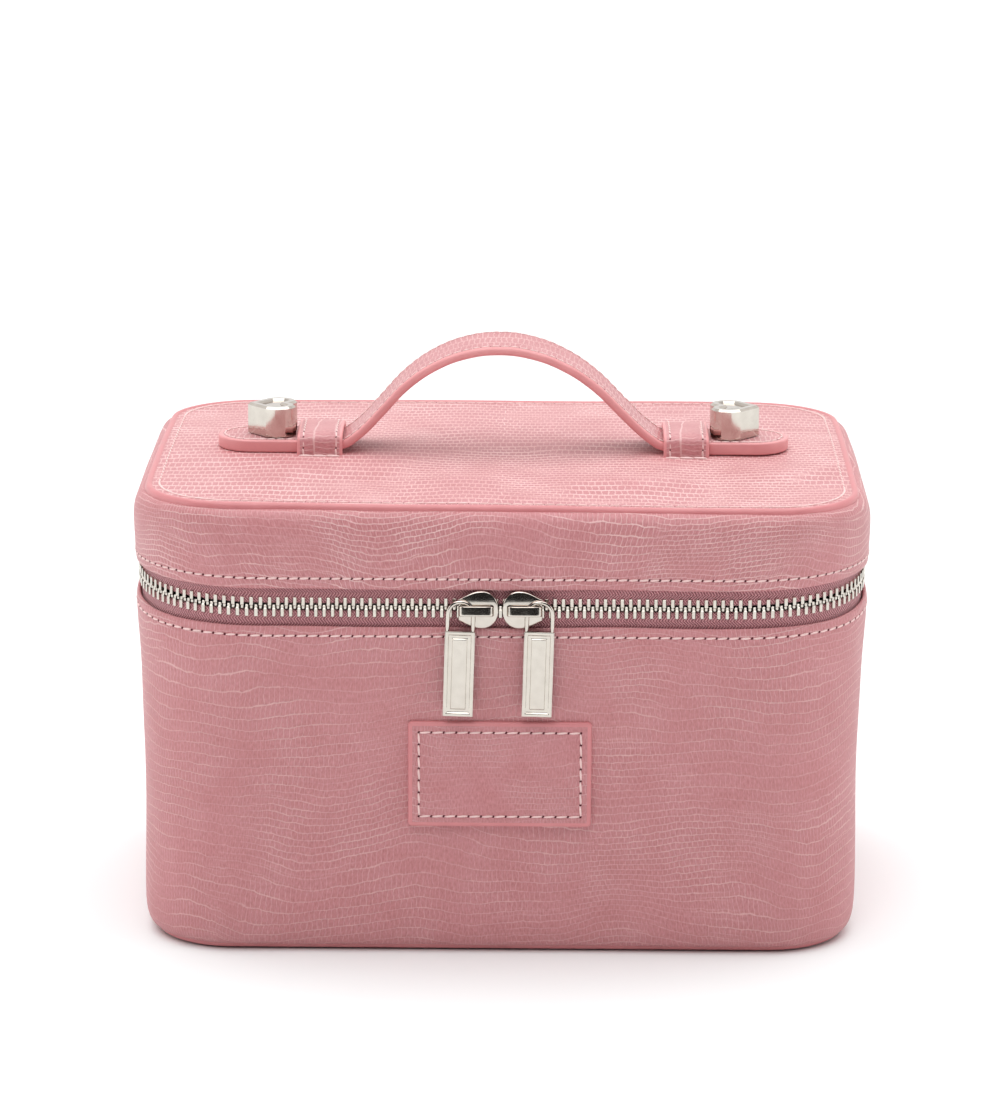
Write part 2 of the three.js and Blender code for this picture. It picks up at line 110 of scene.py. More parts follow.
def settled(spot):
    """Where a point of the case comes to rest once the padded shell has settled, in metres."""
    height, depth = spot.z / MM, spot.y / MM
    lift = ZIP_LIFT * eased((LIFT_ENDS_AT - abs(depth)) / LIFT_EASE)
    lift *= np.interp(height, LIFT_HEIGHTS, (0, 1, 1, 0))
    sag = REAR_SAG if depth > 0 else FRONT_SAG + RIGHT_SAG * spot.x / (WIDTH / 2)
    sag *= eased(abs(depth) / SAG_REACH) * np.interp(height, SAG_HEIGHTS, (0, 1))
    return Vector((spot.x, spot.y, (height + lift - sag) * MM))


def on_case(around, inset, height):
    """A point on the case's outline and the way out from it. around is the distance in metres
    from the middle of the rear, clockwise from above; inset and height are metres too."""
    radius = max(np.interp(height / MM, CORNER_HEIGHTS, CORNER_RADII) * MM - inset, MM)
    reach = Vector((WIDTH / 2 - inset, DEPTH / 2 - inset))
    left = around % GIRTH
    start = Vector((0, reach.y))
    straights = (SIDE_X, 2 * SIDE_Y, 2 * SIDE_X, 2 * SIDE_Y, SIDE_X)
    corners = ((1, 1), (1, -1), (-1, -1), (-1, 1), (0, 1))
    for turn, (straight, (sign_x, sign_y)) in enumerate(zip(straights, corners)):
        angle = math.radians(90 - 90 * turn)
        centre = Vector((sign_x * (reach.x - radius), sign_y * (reach.y - radius)))
        out = Vector((math.cos(angle), math.sin(angle)))
        end = centre + out * radius
        if left <= straight or turn == 4:
            spot = start.lerp(end, min(left / straight, 1))
            return settled(Vector((*spot, height))), Vector((*out, 0))
        left -= straight
        if left <= QUARTER:
            angle -= math.pi / 2 * left / QUARTER
            out = Vector((math.cos(angle), math.sin(angle)))
            return settled(Vector((*(centre + out * radius), height))), Vector((*out, 0))
        left -= QUARTER
        start = centre + Vector((out.y, -out.x)) * radius


def pick_up(piece, *others):
    """Selects these pieces and nothing else, with the first one active."""
    bpy.ops.object.select_all(action="DESELECT")
    for each in (piece, *others):
        each.select_set(True)
    bpy.context.view_layer.objects.active = piece


def edit(piece):
    pick_up(piece)
    bpy.ops.object.mode_set(mode="EDIT")
    bpy.ops.mesh.select_all(action="SELECT")


def leave_edit():
    bpy.ops.object.mode_set(mode="OBJECT")


def close_up(piece, fill=False):
    """Welds the seams, fills open ends and turns every face outwards."""
    edit(piece)
    bpy.ops.mesh.remove_doubles(threshold=0.002 * MM)
    if fill:
        bpy.ops.mesh.fill_holes(sides=0)
    bpy.ops.mesh.normals_make_consistent(inside=False)
    leave_edit()


def finish_with(piece, kind, **settings):
    """Adds a modifier and applies it."""
    pick_up(piece)
    modifier = piece.modifiers.new(kind.title(), kind)
    for key, value in settings.items():
        setattr(modifier, key, value)
    bpy.ops.object.modifier_apply(modifier=modifier.name)


def ease_edges(piece, width, segments, angle):
    """Rounds the edges that are sharper than the angle, in degrees, by a width in mm."""
    finish_with(piece, "BEVEL", width=width * MM, segments=segments, limit_method="ANGLE",
                angle_limit=math.radians(angle))


def smooth(piece, angle=None):
    pick_up(piece)
    if angle is None:
        bpy.ops.object.shade_smooth()
    else:
        bpy.ops.object.shade_smooth_by_angle(angle=math.radians(angle))


def sheet_grid(name, columns, rows):
    bpy.ops.object.select_all(action="DESELECT")
    bpy.ops.mesh.primitive_grid_add(x_subdivisions=columns, y_subdivisions=rows, size=2)
    piece = bpy.context.object
    piece.name = name
    return piece


def run_along(points):
    """How far along a line of points each one is, from 0 at the first."""
    runs = [0]
    for here, there in zip(points, points[1:]):
        runs.append(runs[-1] + math.dist(here, there))
    return runs


def wrap_round(name, section, columns=168, start=0, stop=None, levels=1):
    """A closed skin whose section, a closed loop of (inset, height) in mm, is carried round
    the case. Its UV map is the skin laid flat, in metres."""
    whole = stop is None
    stop = GIRTH if whole else stop
    rows = len(section)
    piece = sheet_grid(name, columns, rows)
    laid = run_along(section + section[:1])
    for vertex in piece.data.vertices:
        share = (vertex.co.x + 1) / 2
        inset, height = section[round((vertex.co.y + 1) / 2 * rows) % rows]
        vertex.co, _ = on_case(start + (stop - start) * share, inset * MM, height * MM)
    for corner in piece.data.uv_layers[0].data:
        share, row = corner.uv
        corner.uv = (start + (stop - start) * share, laid[round(row * rows)] * MM)
    close_up(piece, fill=not whole)
    if levels:
        finish_with(piece, "SUBSURF", levels=levels, render_levels=levels)
    smooth(piece)
    return piece


def flat_map(piece, across=0, along=1):
    """A UV map in metres, straight from two of the axes."""
    plan = piece.data.uv_layers.active or piece.data.uv_layers.new(name="UVMap")
    for corner in piece.data.loops:
        spot = piece.data.vertices[corner.vertex_index].co
        plan.data[corner.index].uv = (spot[across], spot[along])


def lay_flat(name, inset, low, high, dish=0, cells=44):
    """A plate that fills the case's outline at an inset, with an eased upper rim. Its UV map
    is its plan, in metres. dish lowers the rim below the middle."""
    piece = sheet_grid(name, cells, cells)
    for vertex in piece.data.vertices:
        u, v = vertex.co.x, vertex.co.y
        ring = max(abs(u), abs(v))
        if ring == 0:
            vertex.co = Vector((0, 0, high * MM))
            continue
        around = square_walk(u / ring, v / ring)
        spot, _ = on_case(around * GIRTH, inset * MM, high * MM)
        vertex.co = settled(Vector((spot.x * ring, spot.y * ring, (high - dish * ring ** 10) * MM)))
    flat_map(piece)
    finish_with(piece, "SOLIDIFY", thickness=(high - low) * MM, offset=-1)
    close_up(piece)
    ease_edges(piece, 0.35, 2, 50)
    smooth(piece, 40)
    return piece


def square_walk(x, y):
    """The share of the way round for a point on the rim of a square, matched to the case's
    sides and corners: clockwise from the middle of the rear."""
    marks = [0, SIDE_X + QUARTER / 2]
    marks.append(marks[-1] + 2 * SIDE_Y + QUARTER)
    marks.append(marks[-1] + 2 * SIDE_X + QUARTER)
    marks.append(marks[-1] + 2 * SIDE_Y + QUARTER)
    marks.append(GIRTH)
    if y >= 1 - 1e-6:
        walked = marks[1] * x if x >= 0 else GIRTH + marks[1] * x
    elif x >= 1 - 1e-6:
        walked = marks[1] + (marks[2] - marks[1]) * (1 - y) / 2
    elif y <= -1 + 1e-6:
        walked = marks[2] + (marks[3] - marks[2]) * (1 - x) / 2
    else:
        walked = marks[3] + (marks[4] - marks[3]) * (1 + y) / 2
    return walked / GIRTH


def bead_section(inset, height, radius):
    turns = [2 * math.pi * side / 8 for side in range(8)]
    return [(inset + radius * math.cos(turn), height + radius * math.sin(turn)) for turn in turns]


def linear(colour):
    """An sRGB hex colour as the linear values that shaders take."""
    parts = [int(colour[at:at + 2], 16) / 255 for at in (1, 3, 5)]
    return [p / 12.92 if p <= 0.04045 else ((p + 0.055) / 1.055) ** 2.4 for p in parts] + [1]


def new_material(name, colour, roughness, metallic=0.0, specular=0.5):
    material = bpy.data.materials.new(name)
    material.use_nodes = True
    shader = material.node_tree.nodes["Principled BSDF"]
    shader.inputs["Base Color"].default_value = linear(colour)
    shader.inputs["Roughness"].default_value = roughness
    shader.inputs["Metallic"].default_value = metallic
    shader.inputs["Specular IOR Level"].default_value = specular
    return material, shader


def add_node(material, kind, settings=None, **inputs):
    """Adds a node. settings are its properties; inputs are values, colours or other nodes'
    outputs, named as the sockets are with _ for a space, or by number as in_0."""
    node = material.node_tree.nodes.new("ShaderNode" + kind)
    for key, value in (settings or {}).items():
        setattr(node, key, value)
    for key, value in inputs.items():
        place = int(key[3:]) if key.startswith("in_") else key.replace("_", " ")
        if isinstance(value, bpy.types.NodeSocket):
            material.node_tree.links.new(value, node.inputs[place])
        elif isinstance(value, str):
            node.inputs[place].default_value = linear(value)
        else:
            node.inputs[place].default_value = value
    return node


def connect(material, output, shader, socket):
    material.node_tree.links.new(output, shader.inputs[socket])


def two_tones(material, shader, mix, deep, pale):
    """Colours a finish from deep to pale as the mix runs from 0 to 1."""
    tone = add_node(material, "ValToRGB", Fac=mix)
    for stop, colour in zip(tone.color_ramp.elements, (deep, pale)):
        stop.color = linear(colour)
    connect(material, tone.outputs[0], shader, "Base Color")


def relief(material, shader, height, strength, depth_mm):
    """Raises a finish's surface where the height is high."""
    bump = add_node(material, "Bump", Strength=strength, Distance=depth_mm * MM, Height=height)
    connect(material, bump.outputs[0], shader, "Normal")


# Embossed polyurethane leathercloth: a polyester knit with a soft coating, pressed hot with a
# lizard grain. Rows of narrow scales run along the cloth and drift; the ridges between rows
# are a paler pink than those between scales, and drawn-out pores keep the coat semi-matt.
PORE_MM = 0.45
GRAIN_UNIT = 3.0
LEATHER_TONES = ("#be797c", "#c58387")
# The top panel, strap, strap ends and keepers take the same leathercloth with tones painted paler: a
# lit copy that stands in for the light and sheen on faces turned up.
TOP_LIT_TONES = ("#c37f82", "#cd8e91")
LEATHER_RIDGE = "#f2cdcb"


def leathercloth(name, tones=LEATHER_TONES, row=3.7, scale=1.5, row_ridge=0.28, scale_ridge=0.2,
                 ridge_strength=0.45, faintest=0.45, drift_mm=11.0, shift=0.0):
    material, shader = new_material(name, tones[1], 0.46)
    flat = add_node(material, "UVMap").outputs["UV"]
    flat = add_node(material, "Mapping", Vector=flat, Scale=(1 / MM,) * 3,
                    Location=(shift, shift, 0)).outputs[0]
    drift = add_node(material, "TexNoise", Vector=flat, Scale=1 / 50, Detail=1.0)
    drift = add_node(material, "MapRange", Value=drift.outputs[0], To_Min=-drift_mm, To_Max=drift_mm)
    tremble = add_node(material, "TexNoise", Vector=flat, Scale=1 / 5, Detail=3.0)
    tremble = add_node(material, "MapRange", Value=tremble.outputs[0], To_Min=-0.9, To_Max=0.9)
    lift = add_node(material, "Math", in_0=drift.outputs[0], in_1=tremble.outputs[0])
    lift = add_node(material, "CombineXYZ", X=tremble.outputs[0], Y=lift.outputs[0])
    wavy = add_node(material, "VectorMath", in_0=flat, in_1=lift.outputs[0]).outputs[0]
    squeeze = row_ridge / scale_ridge
    wavy = add_node(material, "Mapping", Vector=wavy, Scale=(squeeze, 1, 1)).outputs[0]
    grains = []
    for shrink in (1.0, 0.6):
        lines = [add_node(
            material, "TexBrick", {"offset": 0.5}, Vector=wavy, Scale=1 / GRAIN_UNIT,
            Mortar_Size=row_ridge / GRAIN_UNIT, Mortar_Smooth=0.8,
            Brick_Width=width * squeeze / GRAIN_UNIT,
            Row_Height=row * shrink / GRAIN_UNIT).outputs["Fac"] for width in (scale, 999.0)]
        grains.append(add_node(material, "Mix", Factor=0.35, in_2=lines[0], in_3=lines[1]).outputs[0])
    where = add_node(material, "TexNoise", Vector=flat, Scale=1 / 60, Detail=1.0)
    where = add_node(material, "MapRange", Value=where.outputs[0], From_Min=0.51,
                     From_Max=0.57).outputs[0]
    ridges = add_node(material, "Mix", Factor=where, in_2=grains[0], in_3=grains[1]).outputs[0]
    worn = add_node(material, "TexNoise", Vector=flat, Scale=1 / 24, Detail=2.0)
    worn = add_node(material, "MapRange", Value=worn.outputs[0], From_Min=0.38, From_Max=0.62,
                    To_Min=faintest, To_Max=1.0).outputs[0]
    ridges = add_node(material, "Math", {"operation": "MULTIPLY"}, in_0=ridges, in_1=worn).outputs[0]
    drawn = add_node(material, "Mapping", Vector=flat,
                     Scale=(1 / PORE_MM, 1 / (PORE_MM * 3), 1)).outputs[0]
    pore = add_node(material, "TexNoise", Vector=drawn, Scale=1.0, Detail=2.0).outputs[0]
    cloud = add_node(material, "TexNoise", Vector=flat, Scale=1 / 12, Detail=4.0).outputs[0]
    ground = add_node(material, "ValToRGB", Fac=cloud)
    for stop, place, tone in zip(ground.color_ramp.elements, (0.25, 0.75), tones):
        stop.position = place
        stop.color = linear(tone)
    paint = add_node(material, "Math", {"operation": "MULTIPLY"}, in_0=ridges, in_1=ridge_strength)
    tinted = add_node(material, "Mix", {"data_type": "RGBA"}, Factor=paint.outputs[0],
                      A=ground.outputs[0], B=LEATHER_RIDGE)
    grain = add_node(material, "Mix", {"data_type": "RGBA", "blend_type": "SOFT_LIGHT"},
                     Factor=0.6, A=tinted.outputs["Result"], B=pore)
    connect(material, grain.outputs["Result"], shader, "Base Color")
    gloss = add_node(material, "MapRange", Value=pore, To_Min=0.38, To_Max=0.56)
    connect(material, gloss.outputs[0], shader, "Roughness")
    height = add_node(material, "Math", {"operation": "MULTIPLY_ADD"}, in_0=pore, in_1=0.7,
                      in_2=ridges)
    relief(material, shader, height.outputs[0], 0.8, 0.17)
    return material


def uneven(name, colour, tones, patch_mm, roughness, gloss=None, bump=None, detail=2.0, **nature):
    """A finish that wavers over patches of that size: in tone, from the first of tones to the
    second, in roughness between the two of gloss, and by bump, a strength and a depth in mm."""
    material, shader = new_material(name, colour, roughness, **nature)
    place = add_node(material, "TexCoord").outputs["Object"]
    waver = add_node(material, "TexNoise", Vector=place, Scale=1 / (patch_mm * MM),
                     Detail=detail).outputs[0]
    if tones:
        two_tones(material, shader, waver, *tones)
    if gloss:
        shine = add_node(material, "MapRange", Value=waver, To_Min=gloss[0], To_Max=gloss[1])
        connect(material, shine.outputs[0], shader, "Roughness")
    if bump:
        relief(material, shader, waver, *bump)
    return material


# Edge paint: a thick pigmented acrylic wiped on in layers. It dries smooth, with a soft
# satin shine and a slow waver where it pooled.
def edge_paint(name, deep, pale):
    return uneven(name, pale, (deep, pale), 6, 0.36, gloss=(0.28, 0.46), bump=(0.3, 0.05))


def coat(piece, *materials):
    """Gives a piece these materials after the ones that it has."""
    for material in materials:
        piece.data.materials.append(material)


def coat_nodes(material, *nodes):
    """Gives a material to CAD nodes that keep their own shape."""
    for node in nodes:
        frame["nodes"][node].data.materials.clear()
        coat(frame["nodes"][node], material)


def dress(piece, body, slot, *materials, stands_for=()):
    """Gives a finished piece its materials and its body, and hides the CAD nodes it stands for. slot is
    not used.
    """
    coat(piece, *materials)
    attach(piece, body)
    if stands_for:
        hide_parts(*stands_for)
    return piece


wall_leather = leathercloth("embossed_leathercloth_wall")
flat_leather = leathercloth("embossed_leathercloth_panel", shift=37.0)
painted = edge_paint("acrylic_edge_paint", "#c97a7d", "#da8d90")
# Grey-brown fibreboard, pressed from pulp: matt, speckled with darker fibres.
board_face = uneven("pressed_fibreboard", "#8a7a68", ("#6f6152", "#9b8b78"), 0.8, 0.9,
                    bump=(0.4, 0.1), detail=4.0)
coat_nodes(board_face, "base_board", "body_board_wall", "lid_board_wall", "lid_top_board")

panel_low, panel_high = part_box("base_leather_panel")
bead_low, bead_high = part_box("base_piping")
PANEL_TUCK = 0.3
panel_inset = (WIDTH / 2 - panel_high.x) / MM - PANEL_TUCK
base_panel = lay_flat("base_panel", panel_inset, panel_low.z / MM, panel_high.z / MM)
dress(base_panel, "case_body", "leather", flat_leather, stands_for=["base_leather_panel"])

bead_radius = (bead_high.z - bead_low.z) / 2 / MM
BEAD_OUT = 1.4
BEAD_SWELL = 1.04
base_bead = wrap_round("base_edge_piping", bead_section(
    (WIDTH / 2 - bead_high.x) / MM + bead_radius - BEAD_OUT, bead_low.z / MM + bead_radius,
    bead_radius * BEAD_SWELL))
dress(base_bead, "case_body", "painted_edge", painted, stands_for=["base_piping"])

# ==== Body wall ====
# One strip of leathercloth, foam-backed, wrapped round the boards and glued. Its foot rolls
# under to the base piping, and its top edge is folded into a hem that stands a little proud.

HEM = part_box("body_leather_wall")[1].z / MM
BODY_SECTION = [
    (7.2, 1.5), (5.6, 2.0), (4.1, 3.3), (3.0, 5.8), (2.5, 9.5), (2.4, 16), (2.6, 32), (2.6, 50),
    (2.2, 68), (1.6, 84), (0.9, 93), (0.3, 98), (0.05, 101.5), (0, HEM - 1.6), (0.05, HEM - 0.5),
    (0.45, HEM), (1.0, HEM), (1.4, HEM - 0.6), (1.5, HEM - 3), (1.6, 99), (2.4, 92), (3.4, 84),
    (4.0, 68), (4.1, 32), (4.1, 12), (4.6, 7.6), (5.6, 5.0), (7.2, 3.4),
]
WALL_DRIFT = (0.35, 34)
# Without a seed of its own the drift would be another one each time.
DRIFT_SEED = 5
noise.seed_set(DRIFT_SEED)


def wander(piece, depth_mm, reach_mm):
    """Leathercloth over padding is never quite even: its surface and seams drift a little."""
    for vertex in piece.data.vertices:
        vertex.co += noise.noise_vector(vertex.co / (reach_mm * MM)) * depth_mm * MM


def join(piece, *others):
    """Makes one piece of several. The first one keeps its name."""
    pick_up(piece, *others)
    bpy.ops.object.join()
    return piece


def repeat(name, unit, stands):
    """Copies one unit to each stand, an (origin, along, out) triple: its X goes along, its Y
    out and its Z up from both. Returns one mesh of all the copies, and drops the unit."""
    corners = np.array([vertex.co for vertex in unit.data.vertices])
    faces = [tuple(face.vertices) for face in unit.data.polygons]
    points, sides = [], []
    for origin, along, out in stands:
        up = along.cross(out).normalized()
        out = up.cross(along).normalized()
        turn = np.array([along.normalized(), out, up])
        shift = len(points) * len(corners)
        points.append(corners @ turn + np.array(origin))
        sides.extend(tuple(index + shift for index in face) for face in faces)
    mesh = bpy.data.meshes.new(name)
    mesh.from_pydata(np.concatenate(points).tolist(), [], sides)
    piece = bpy.data.objects.new(name, mesh)
    bpy.context.scene.collection.objects.link(piece)
    bpy.data.objects.remove(unit)
    smooth(piece)
    return piece


def drop(name, length, depth, width, segments=8, rings=6):
    """A smooth pellet of that size in mm, pointed along X."""
    bpy.ops.object.select_all(action="DESELECT")
    bpy.ops.mesh.primitive_uv_sphere_add(segments=segments, ring_count=rings, radius=1,
                                         rotation=(0, math.pi / 2, 0))
    piece = bpy.context.object
    piece.name = name
    piece.scale = (width / 2 * MM, depth / 2 * MM, length / 2 * MM)
    bpy.ops.object.transform_apply(location=False, rotation=True, scale=True)
    return piece


# Bonded polyester sewing thread: round, pale pink, with a low sheen. Each stitch sinks at its
# ends into a needle hole; the shade inside each hole is painted as a dark dot on the surface.
thread = uneven("bonded_sewing_thread", "#f2cfcd", ("#e6b9b7", "#fae3e0"), 0.25, 0.55, detail=1.0)
needle_hole_shade = uneven("needle_hole_shade", "#431a1f", ("#451a20", "#6d383d"), 0.3, 0.95, specular=0.1)
THREAD_MM = 0.66
THREAD_SUNK = 0.12
THREAD_SLANT = 0.16
HOLE_MM = 0.95
HOLE_DEEP = 0.16
PIN_MM = 0.4


def sew(name, cloth, needle, closed=False, hole_mm=HOLE_MM):
    """Stitches along the planned needle points, each settled on the cloth's surface, as one
    piece with its thread and a dark dot of painted shade at each hole."""
    surface = BVHTree.FromPolygons([vertex.co for vertex in cloth.data.vertices],
                                   [tuple(face.vertices) for face in cloth.data.polygons])
    holes = [surface.find_nearest(spot)[:2] for spot in needle]
    ends = holes[1:] + (holes[:1] if closed else [])
    threads, dots = [], []
    for (here, out), (there, _) in zip(holes, ends):
        along = (there - here).normalized()
        across = along.cross(out).normalized() * THREAD_SLANT * MM
        middle = (here + there) / 2 + out * THREAD_MM * THREAD_SUNK * MM
        threads.append((middle, (there - across) - (here + across), out))
    for place, out in holes:
        dots.append((place, out.orthogonal(), out))
    pitch = (needle[1] - needle[0]).length / MM
    stitches = repeat(name, drop("stitch", pitch * 0.9, THREAD_MM * 0.85, THREAD_MM), threads)
    coat(stitches, thread)
    # The shade in each needle hole is painted: a dark flat pellet on the cloth.
    hole_shades = repeat(name + "_holes", drop("pit", hole_mm, HOLE_DEEP, hole_mm * 0.8, 8, 4), dots)
    coat(hole_shades, needle_hole_shade)
    return join(stitches, hole_shades)


def round_case(inset, height, pitch):
    """Needle points all round the case at an inset and height in mm, about a pitch apart."""
    count = round(GIRTH / (pitch * MM))
    return [on_case(GIRTH * step / count, inset * MM, height * MM)[0] for step in range(count)]


body_wall = wrap_round("body_wall", BODY_SECTION)
wander(body_wall, *WALL_DRIFT)
dress(body_wall, "case_body", "leather", wall_leather, stands_for=["body_leather_wall"])
HEM_SEAM = 2.9
HEM_PITCH = 3.6
body_seam = sew("body_hem_stitching", body_wall, round_case(0, HEM - HEM_SEAM, HEM_PITCH), closed=True)
dress(body_seam, "case_body", "leather")

# ==== Patch on the front ====
# A rectangle of the same leathercloth over a stiffener. Its edge is painted round and smooth,
# and it is sewn to the wall by one line of long stitches a little in from the edge.

patch_low, patch_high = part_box("front_patch")
PATCH_THICK = 2.2
PATCH_RIM = 1.3
PATCH_SINK = 0.3
PATCH_LEAN = 0.95
WALL_PADDING = 2.25
PATCH_SEAM = 3.3
PATCH_PITCH = 3.85


def turn_into(piece, matrix):
    """Places a mesh by that matrix and leaves its object at the origin."""
    piece.data.transform(matrix)
    piece.matrix_world = Matrix.Identity(4)


def pick(piece, kind, test):
    """Selects only the edges or polygons that pass the test."""
    edit(piece)
    bpy.ops.mesh.select_mode(type="EDGE" if kind == "edges" else "FACE")
    bpy.ops.mesh.select_all(action="DESELECT")
    leave_edit()
    spots = [vertex.co for vertex in piece.data.vertices]
    for item in getattr(piece.data, kind):
        item.select = test(item, [spots[index] for index in item.vertices])
    bpy.ops.object.mode_set(mode="EDIT")


def block(name, length, width, tall, place=(0, 0, 0)):
    """A block of that size along X, Y and Z with its middle at the place, all in mm."""
    bpy.ops.object.select_all(action="DESELECT")
    bpy.ops.mesh.primitive_cube_add(size=1, location=[way * MM for way in place])
    piece = bpy.context.object
    piece.name = name
    piece.scale = (length * MM, width * MM, tall * MM)
    bpy.ops.object.transform_apply(location=True, rotation=False, scale=True)
    return piece


def painted_plate(name, length, width, thick, corner, rim, round_end=None):
    """A stiff leathercloth plate centred in the XY plane: a grained face, material 0, inside a
    round painted rim, material 1. round_end rounds off its +X end. All in mm."""
    piece = block(name, length, width, thick)
    for sign, radius, segments in ((-1, corner, 4), (1, round_end or corner, 16 if round_end else 4)):
        if radius:
            pick(piece, "edges", lambda edge, ends: abs(ends[0].z - ends[1].z) > 1e-6
                 and ends[0].x * sign > 0)
            bpy.ops.mesh.bevel(offset=radius * MM, segments=segments)
            leave_edit()
    for face in piece.data.polygons:
        face.material_index = 1
    pick(piece, "polygons", lambda face, ends: face.normal.z > 0.9)
    bpy.ops.mesh.inset(thickness=rim / 2 * MM, depth=0)
    bpy.ops.mesh.inset(thickness=rim / 2 * MM, depth=0)
    leave_edit()
    for face in piece.data.polygons:
        if face.select:
            face.material_index = 0
    ease_edges(piece, min(0.9, rim * 0.7), 4, 60)
    finish_with(piece, "TRIANGULATE")
    return piece


patch = painted_plate("front_patch_leather", (patch_high.x - patch_low.x) / MM,
                      (patch_high.z - patch_low.z) / MM, PATCH_THICK, PATCH_RIM, PATCH_RIM)
middle = (patch_low + patch_high) / 2
wall_face = -DEPTH / 2 + WALL_PADDING * MM
turn_into(patch, Matrix.Translation((0, wall_face - (PATCH_THICK / 2 - PATCH_SINK) * MM, middle.z))
          @ Matrix.Rotation(math.radians(90 - PATCH_LEAN), 4, "X"))
flat_map(patch, 0, 2)
smooth(patch, 50)
patch_leather = leathercloth("embossed_leathercloth_patch", scale=1.1, ridge_strength=0.33,
                             faintest=0.1, shift=81.0)
dress(patch, "case_body", "leather", patch_leather, painted, stands_for=["front_patch"])


def around_rectangle(half_x, low_z, high_z, y, pitch):
    """Needle points round a rectangle that faces -Y, all in metres."""
    corners = [(-half_x, high_z), (half_x, high_z), (half_x, low_z), (-half_x, low_z)]
    points = []
    for (x0, z0), (x1, z1) in zip(corners, corners[1:] + corners[:1]):
        count = round(math.dist((x0, z0), (x1, z1)) / pitch)
        for step in range(count):
            share = step / count
            points.append(Vector((x0 + (x1 - x0) * share, y, z0 + (z1 - z0) * share)))
    return points


patch_needle = around_rectangle(
    patch_high.x - PATCH_SEAM * MM, patch_low.z + PATCH_SEAM * MM, patch_high.z - PATCH_SEAM * MM,
    wall_face - 3 * MM, PATCH_PITCH * MM)
patch_seam = sew("patch_stitching", patch, patch_needle, closed=True)
dress(patch_seam, "case_body", "leather")

# ==== Body lining ====
# Plain woven polyester, glued to the boards inside the body. Its top edge is turned out over
# the boards and tucked behind the zip tape, and a padded panel of it lines the floor.

WEAVE_MM = 0.6
# A wave pattern repeats this many units apart at a scale of 1.
WAVE_UNIT = 0.314
lining_low, lining_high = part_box("body_lining")
LINING_INSET = (WIDTH / 2 - lining_high.x) / MM


# Plain-woven polyester: warp and weft cross one over one, a dull greyish pink. The real
# threads are 0.3 mm apart, drawn at 0.6 mm so that the weave shows.
def woven_lining():
    material, shader = new_material("woven_polyester_lining", "#c9bfc0", 0.85)
    flat = add_node(material, "UVMap").outputs["UV"]
    across, along = [add_node(
        material, "TexWave", {"bands_direction": way}, Vector=flat,
        Scale=WAVE_UNIT / (WEAVE_MM * MM), Distortion=0.6).outputs["Fac"] for way in "XY"]
    weave = add_node(material, "Math", {"operation": "MULTIPLY"}, in_0=across, in_1=along).outputs[0]
    two_tones(material, shader, weave, "#a9999c", "#d6cbcb")
    relief(material, shader, weave, 0.5, 0.08)
    shader.inputs["Sheen Weight"].default_value = 0.3
    return material


def lined(name, wall_section, floor_low, floor_high, dish):
    """A lining: its wall, with the turned edge, and the flat that closes it, as one piece."""
    walls = wrap_round(name, wall_section, levels=0)
    flat = lay_flat(name + "_flat", LINING_INSET + 0.2, floor_low, floor_high, dish)
    return join(walls, flat)


lining_cloth = woven_lining()
RIM = lining_high.z / MM + 0.3
FLOOR = lining_low.z / MM
body_lining = lined("body_lining_cloth", [
    (LINING_INSET, FLOOR), (LINING_INSET, RIM - 30), (LINING_INSET, RIM - 0.4),
    (LINING_INSET - 0.5, RIM), (3.6, RIM), (3.0, RIM + 0.4), (3.6, RIM + 0.8),
    (LINING_INSET, RIM + 0.8), (LINING_INSET + 0.7, RIM + 0.4), (LINING_INSET + 0.9, RIM - 0.6),
    (LINING_INSET + 0.9, RIM - 30), (LINING_INSET + 0.9, FLOOR + 1)], FLOOR, FLOOR + 1.3, 0.4)
dress(body_lining, "case_body", "lining", lining_cloth, stands_for=["body_lining"])

# ==== Zip: tapes, teeth and end stops ====
# Nickel-plated brass teeth are clamped on the corded edges of two herringbone tapes. The
# tapes are sewn behind the hems and stop at the hinge strip at the rear.

ZIP = (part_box("zip_teeth_lower")[0].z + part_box("zip_teeth_upper")[1].z) / 2 / MM
hinge_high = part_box("rear_hinge_strip")[1]
ZIP_RADIUS = np.interp(ZIP, CORNER_HEIGHTS, CORNER_RADII) * MM
STRIP_GAP = 0.3 * MM
ZIP_START = (hinge_high.x + STRIP_GAP) * SIDE_X / (WIDTH / 2 - ZIP_RADIUS)
TAPE_INSET = 1.9
TAPE_EDGE = 1.0
TAPE_THICK = 0.6
TAPE_CORD = 0.9
TWILL_MM = 0.95
CHAIN_INSET = 0.9
TOOTH_PITCH = 2.7
TOOTH_WIDE = 1.18
TOOTH_DEEP = 2.4
TOOTH_TALL = 3.7
TOOTH_OVERLAP = 0.65
# How far below a tooth's middle its nose begins and ends, and how much narrower the nose is.
NOSE_STEPS = (0.62, 0.92)
NOSE_SHRINK = (0.8, 0.75, 1)


# Herringbone polyester tape: slanted twill threads that turn back at each rib. The real
# threads are 0.35 mm apart, drawn at 0.95 mm so that the twill shows.
def herringbone_tape():
    material, shader = new_material("herringbone_zip_tape", "#a6666c", 0.8)
    flat = add_node(material, "UVMap").outputs["UV"]
    flat = add_node(material, "Mapping", Vector=flat, Scale=(1 / MM,) * 3).outputs[0]
    parts = add_node(material, "SeparateXYZ", Vector=flat)
    turns = add_node(material, "Math", {"operation": "PINGPONG"}, in_0=parts.outputs["Y"], in_1=1.5)
    slant = add_node(material, "Math", {"operation": "MULTIPLY_ADD"}, in_0=turns.outputs[0],
                     in_1=0.9, in_2=parts.outputs["X"])
    lined_up = add_node(material, "CombineXYZ", X=slant.outputs[0])
    twill = add_node(material, "TexWave", {"bands_direction": "X"}, Vector=lined_up.outputs[0],
                     Scale=WAVE_UNIT / TWILL_MM).outputs["Fac"]
    two_tones(material, shader, twill, "#95535a", "#da9ca1")
    relief(material, shader, twill, 0.9, 0.25)
    shader.inputs["Sheen Weight"].default_value = 0.25
    return material


tape_cloth = herringbone_tape()
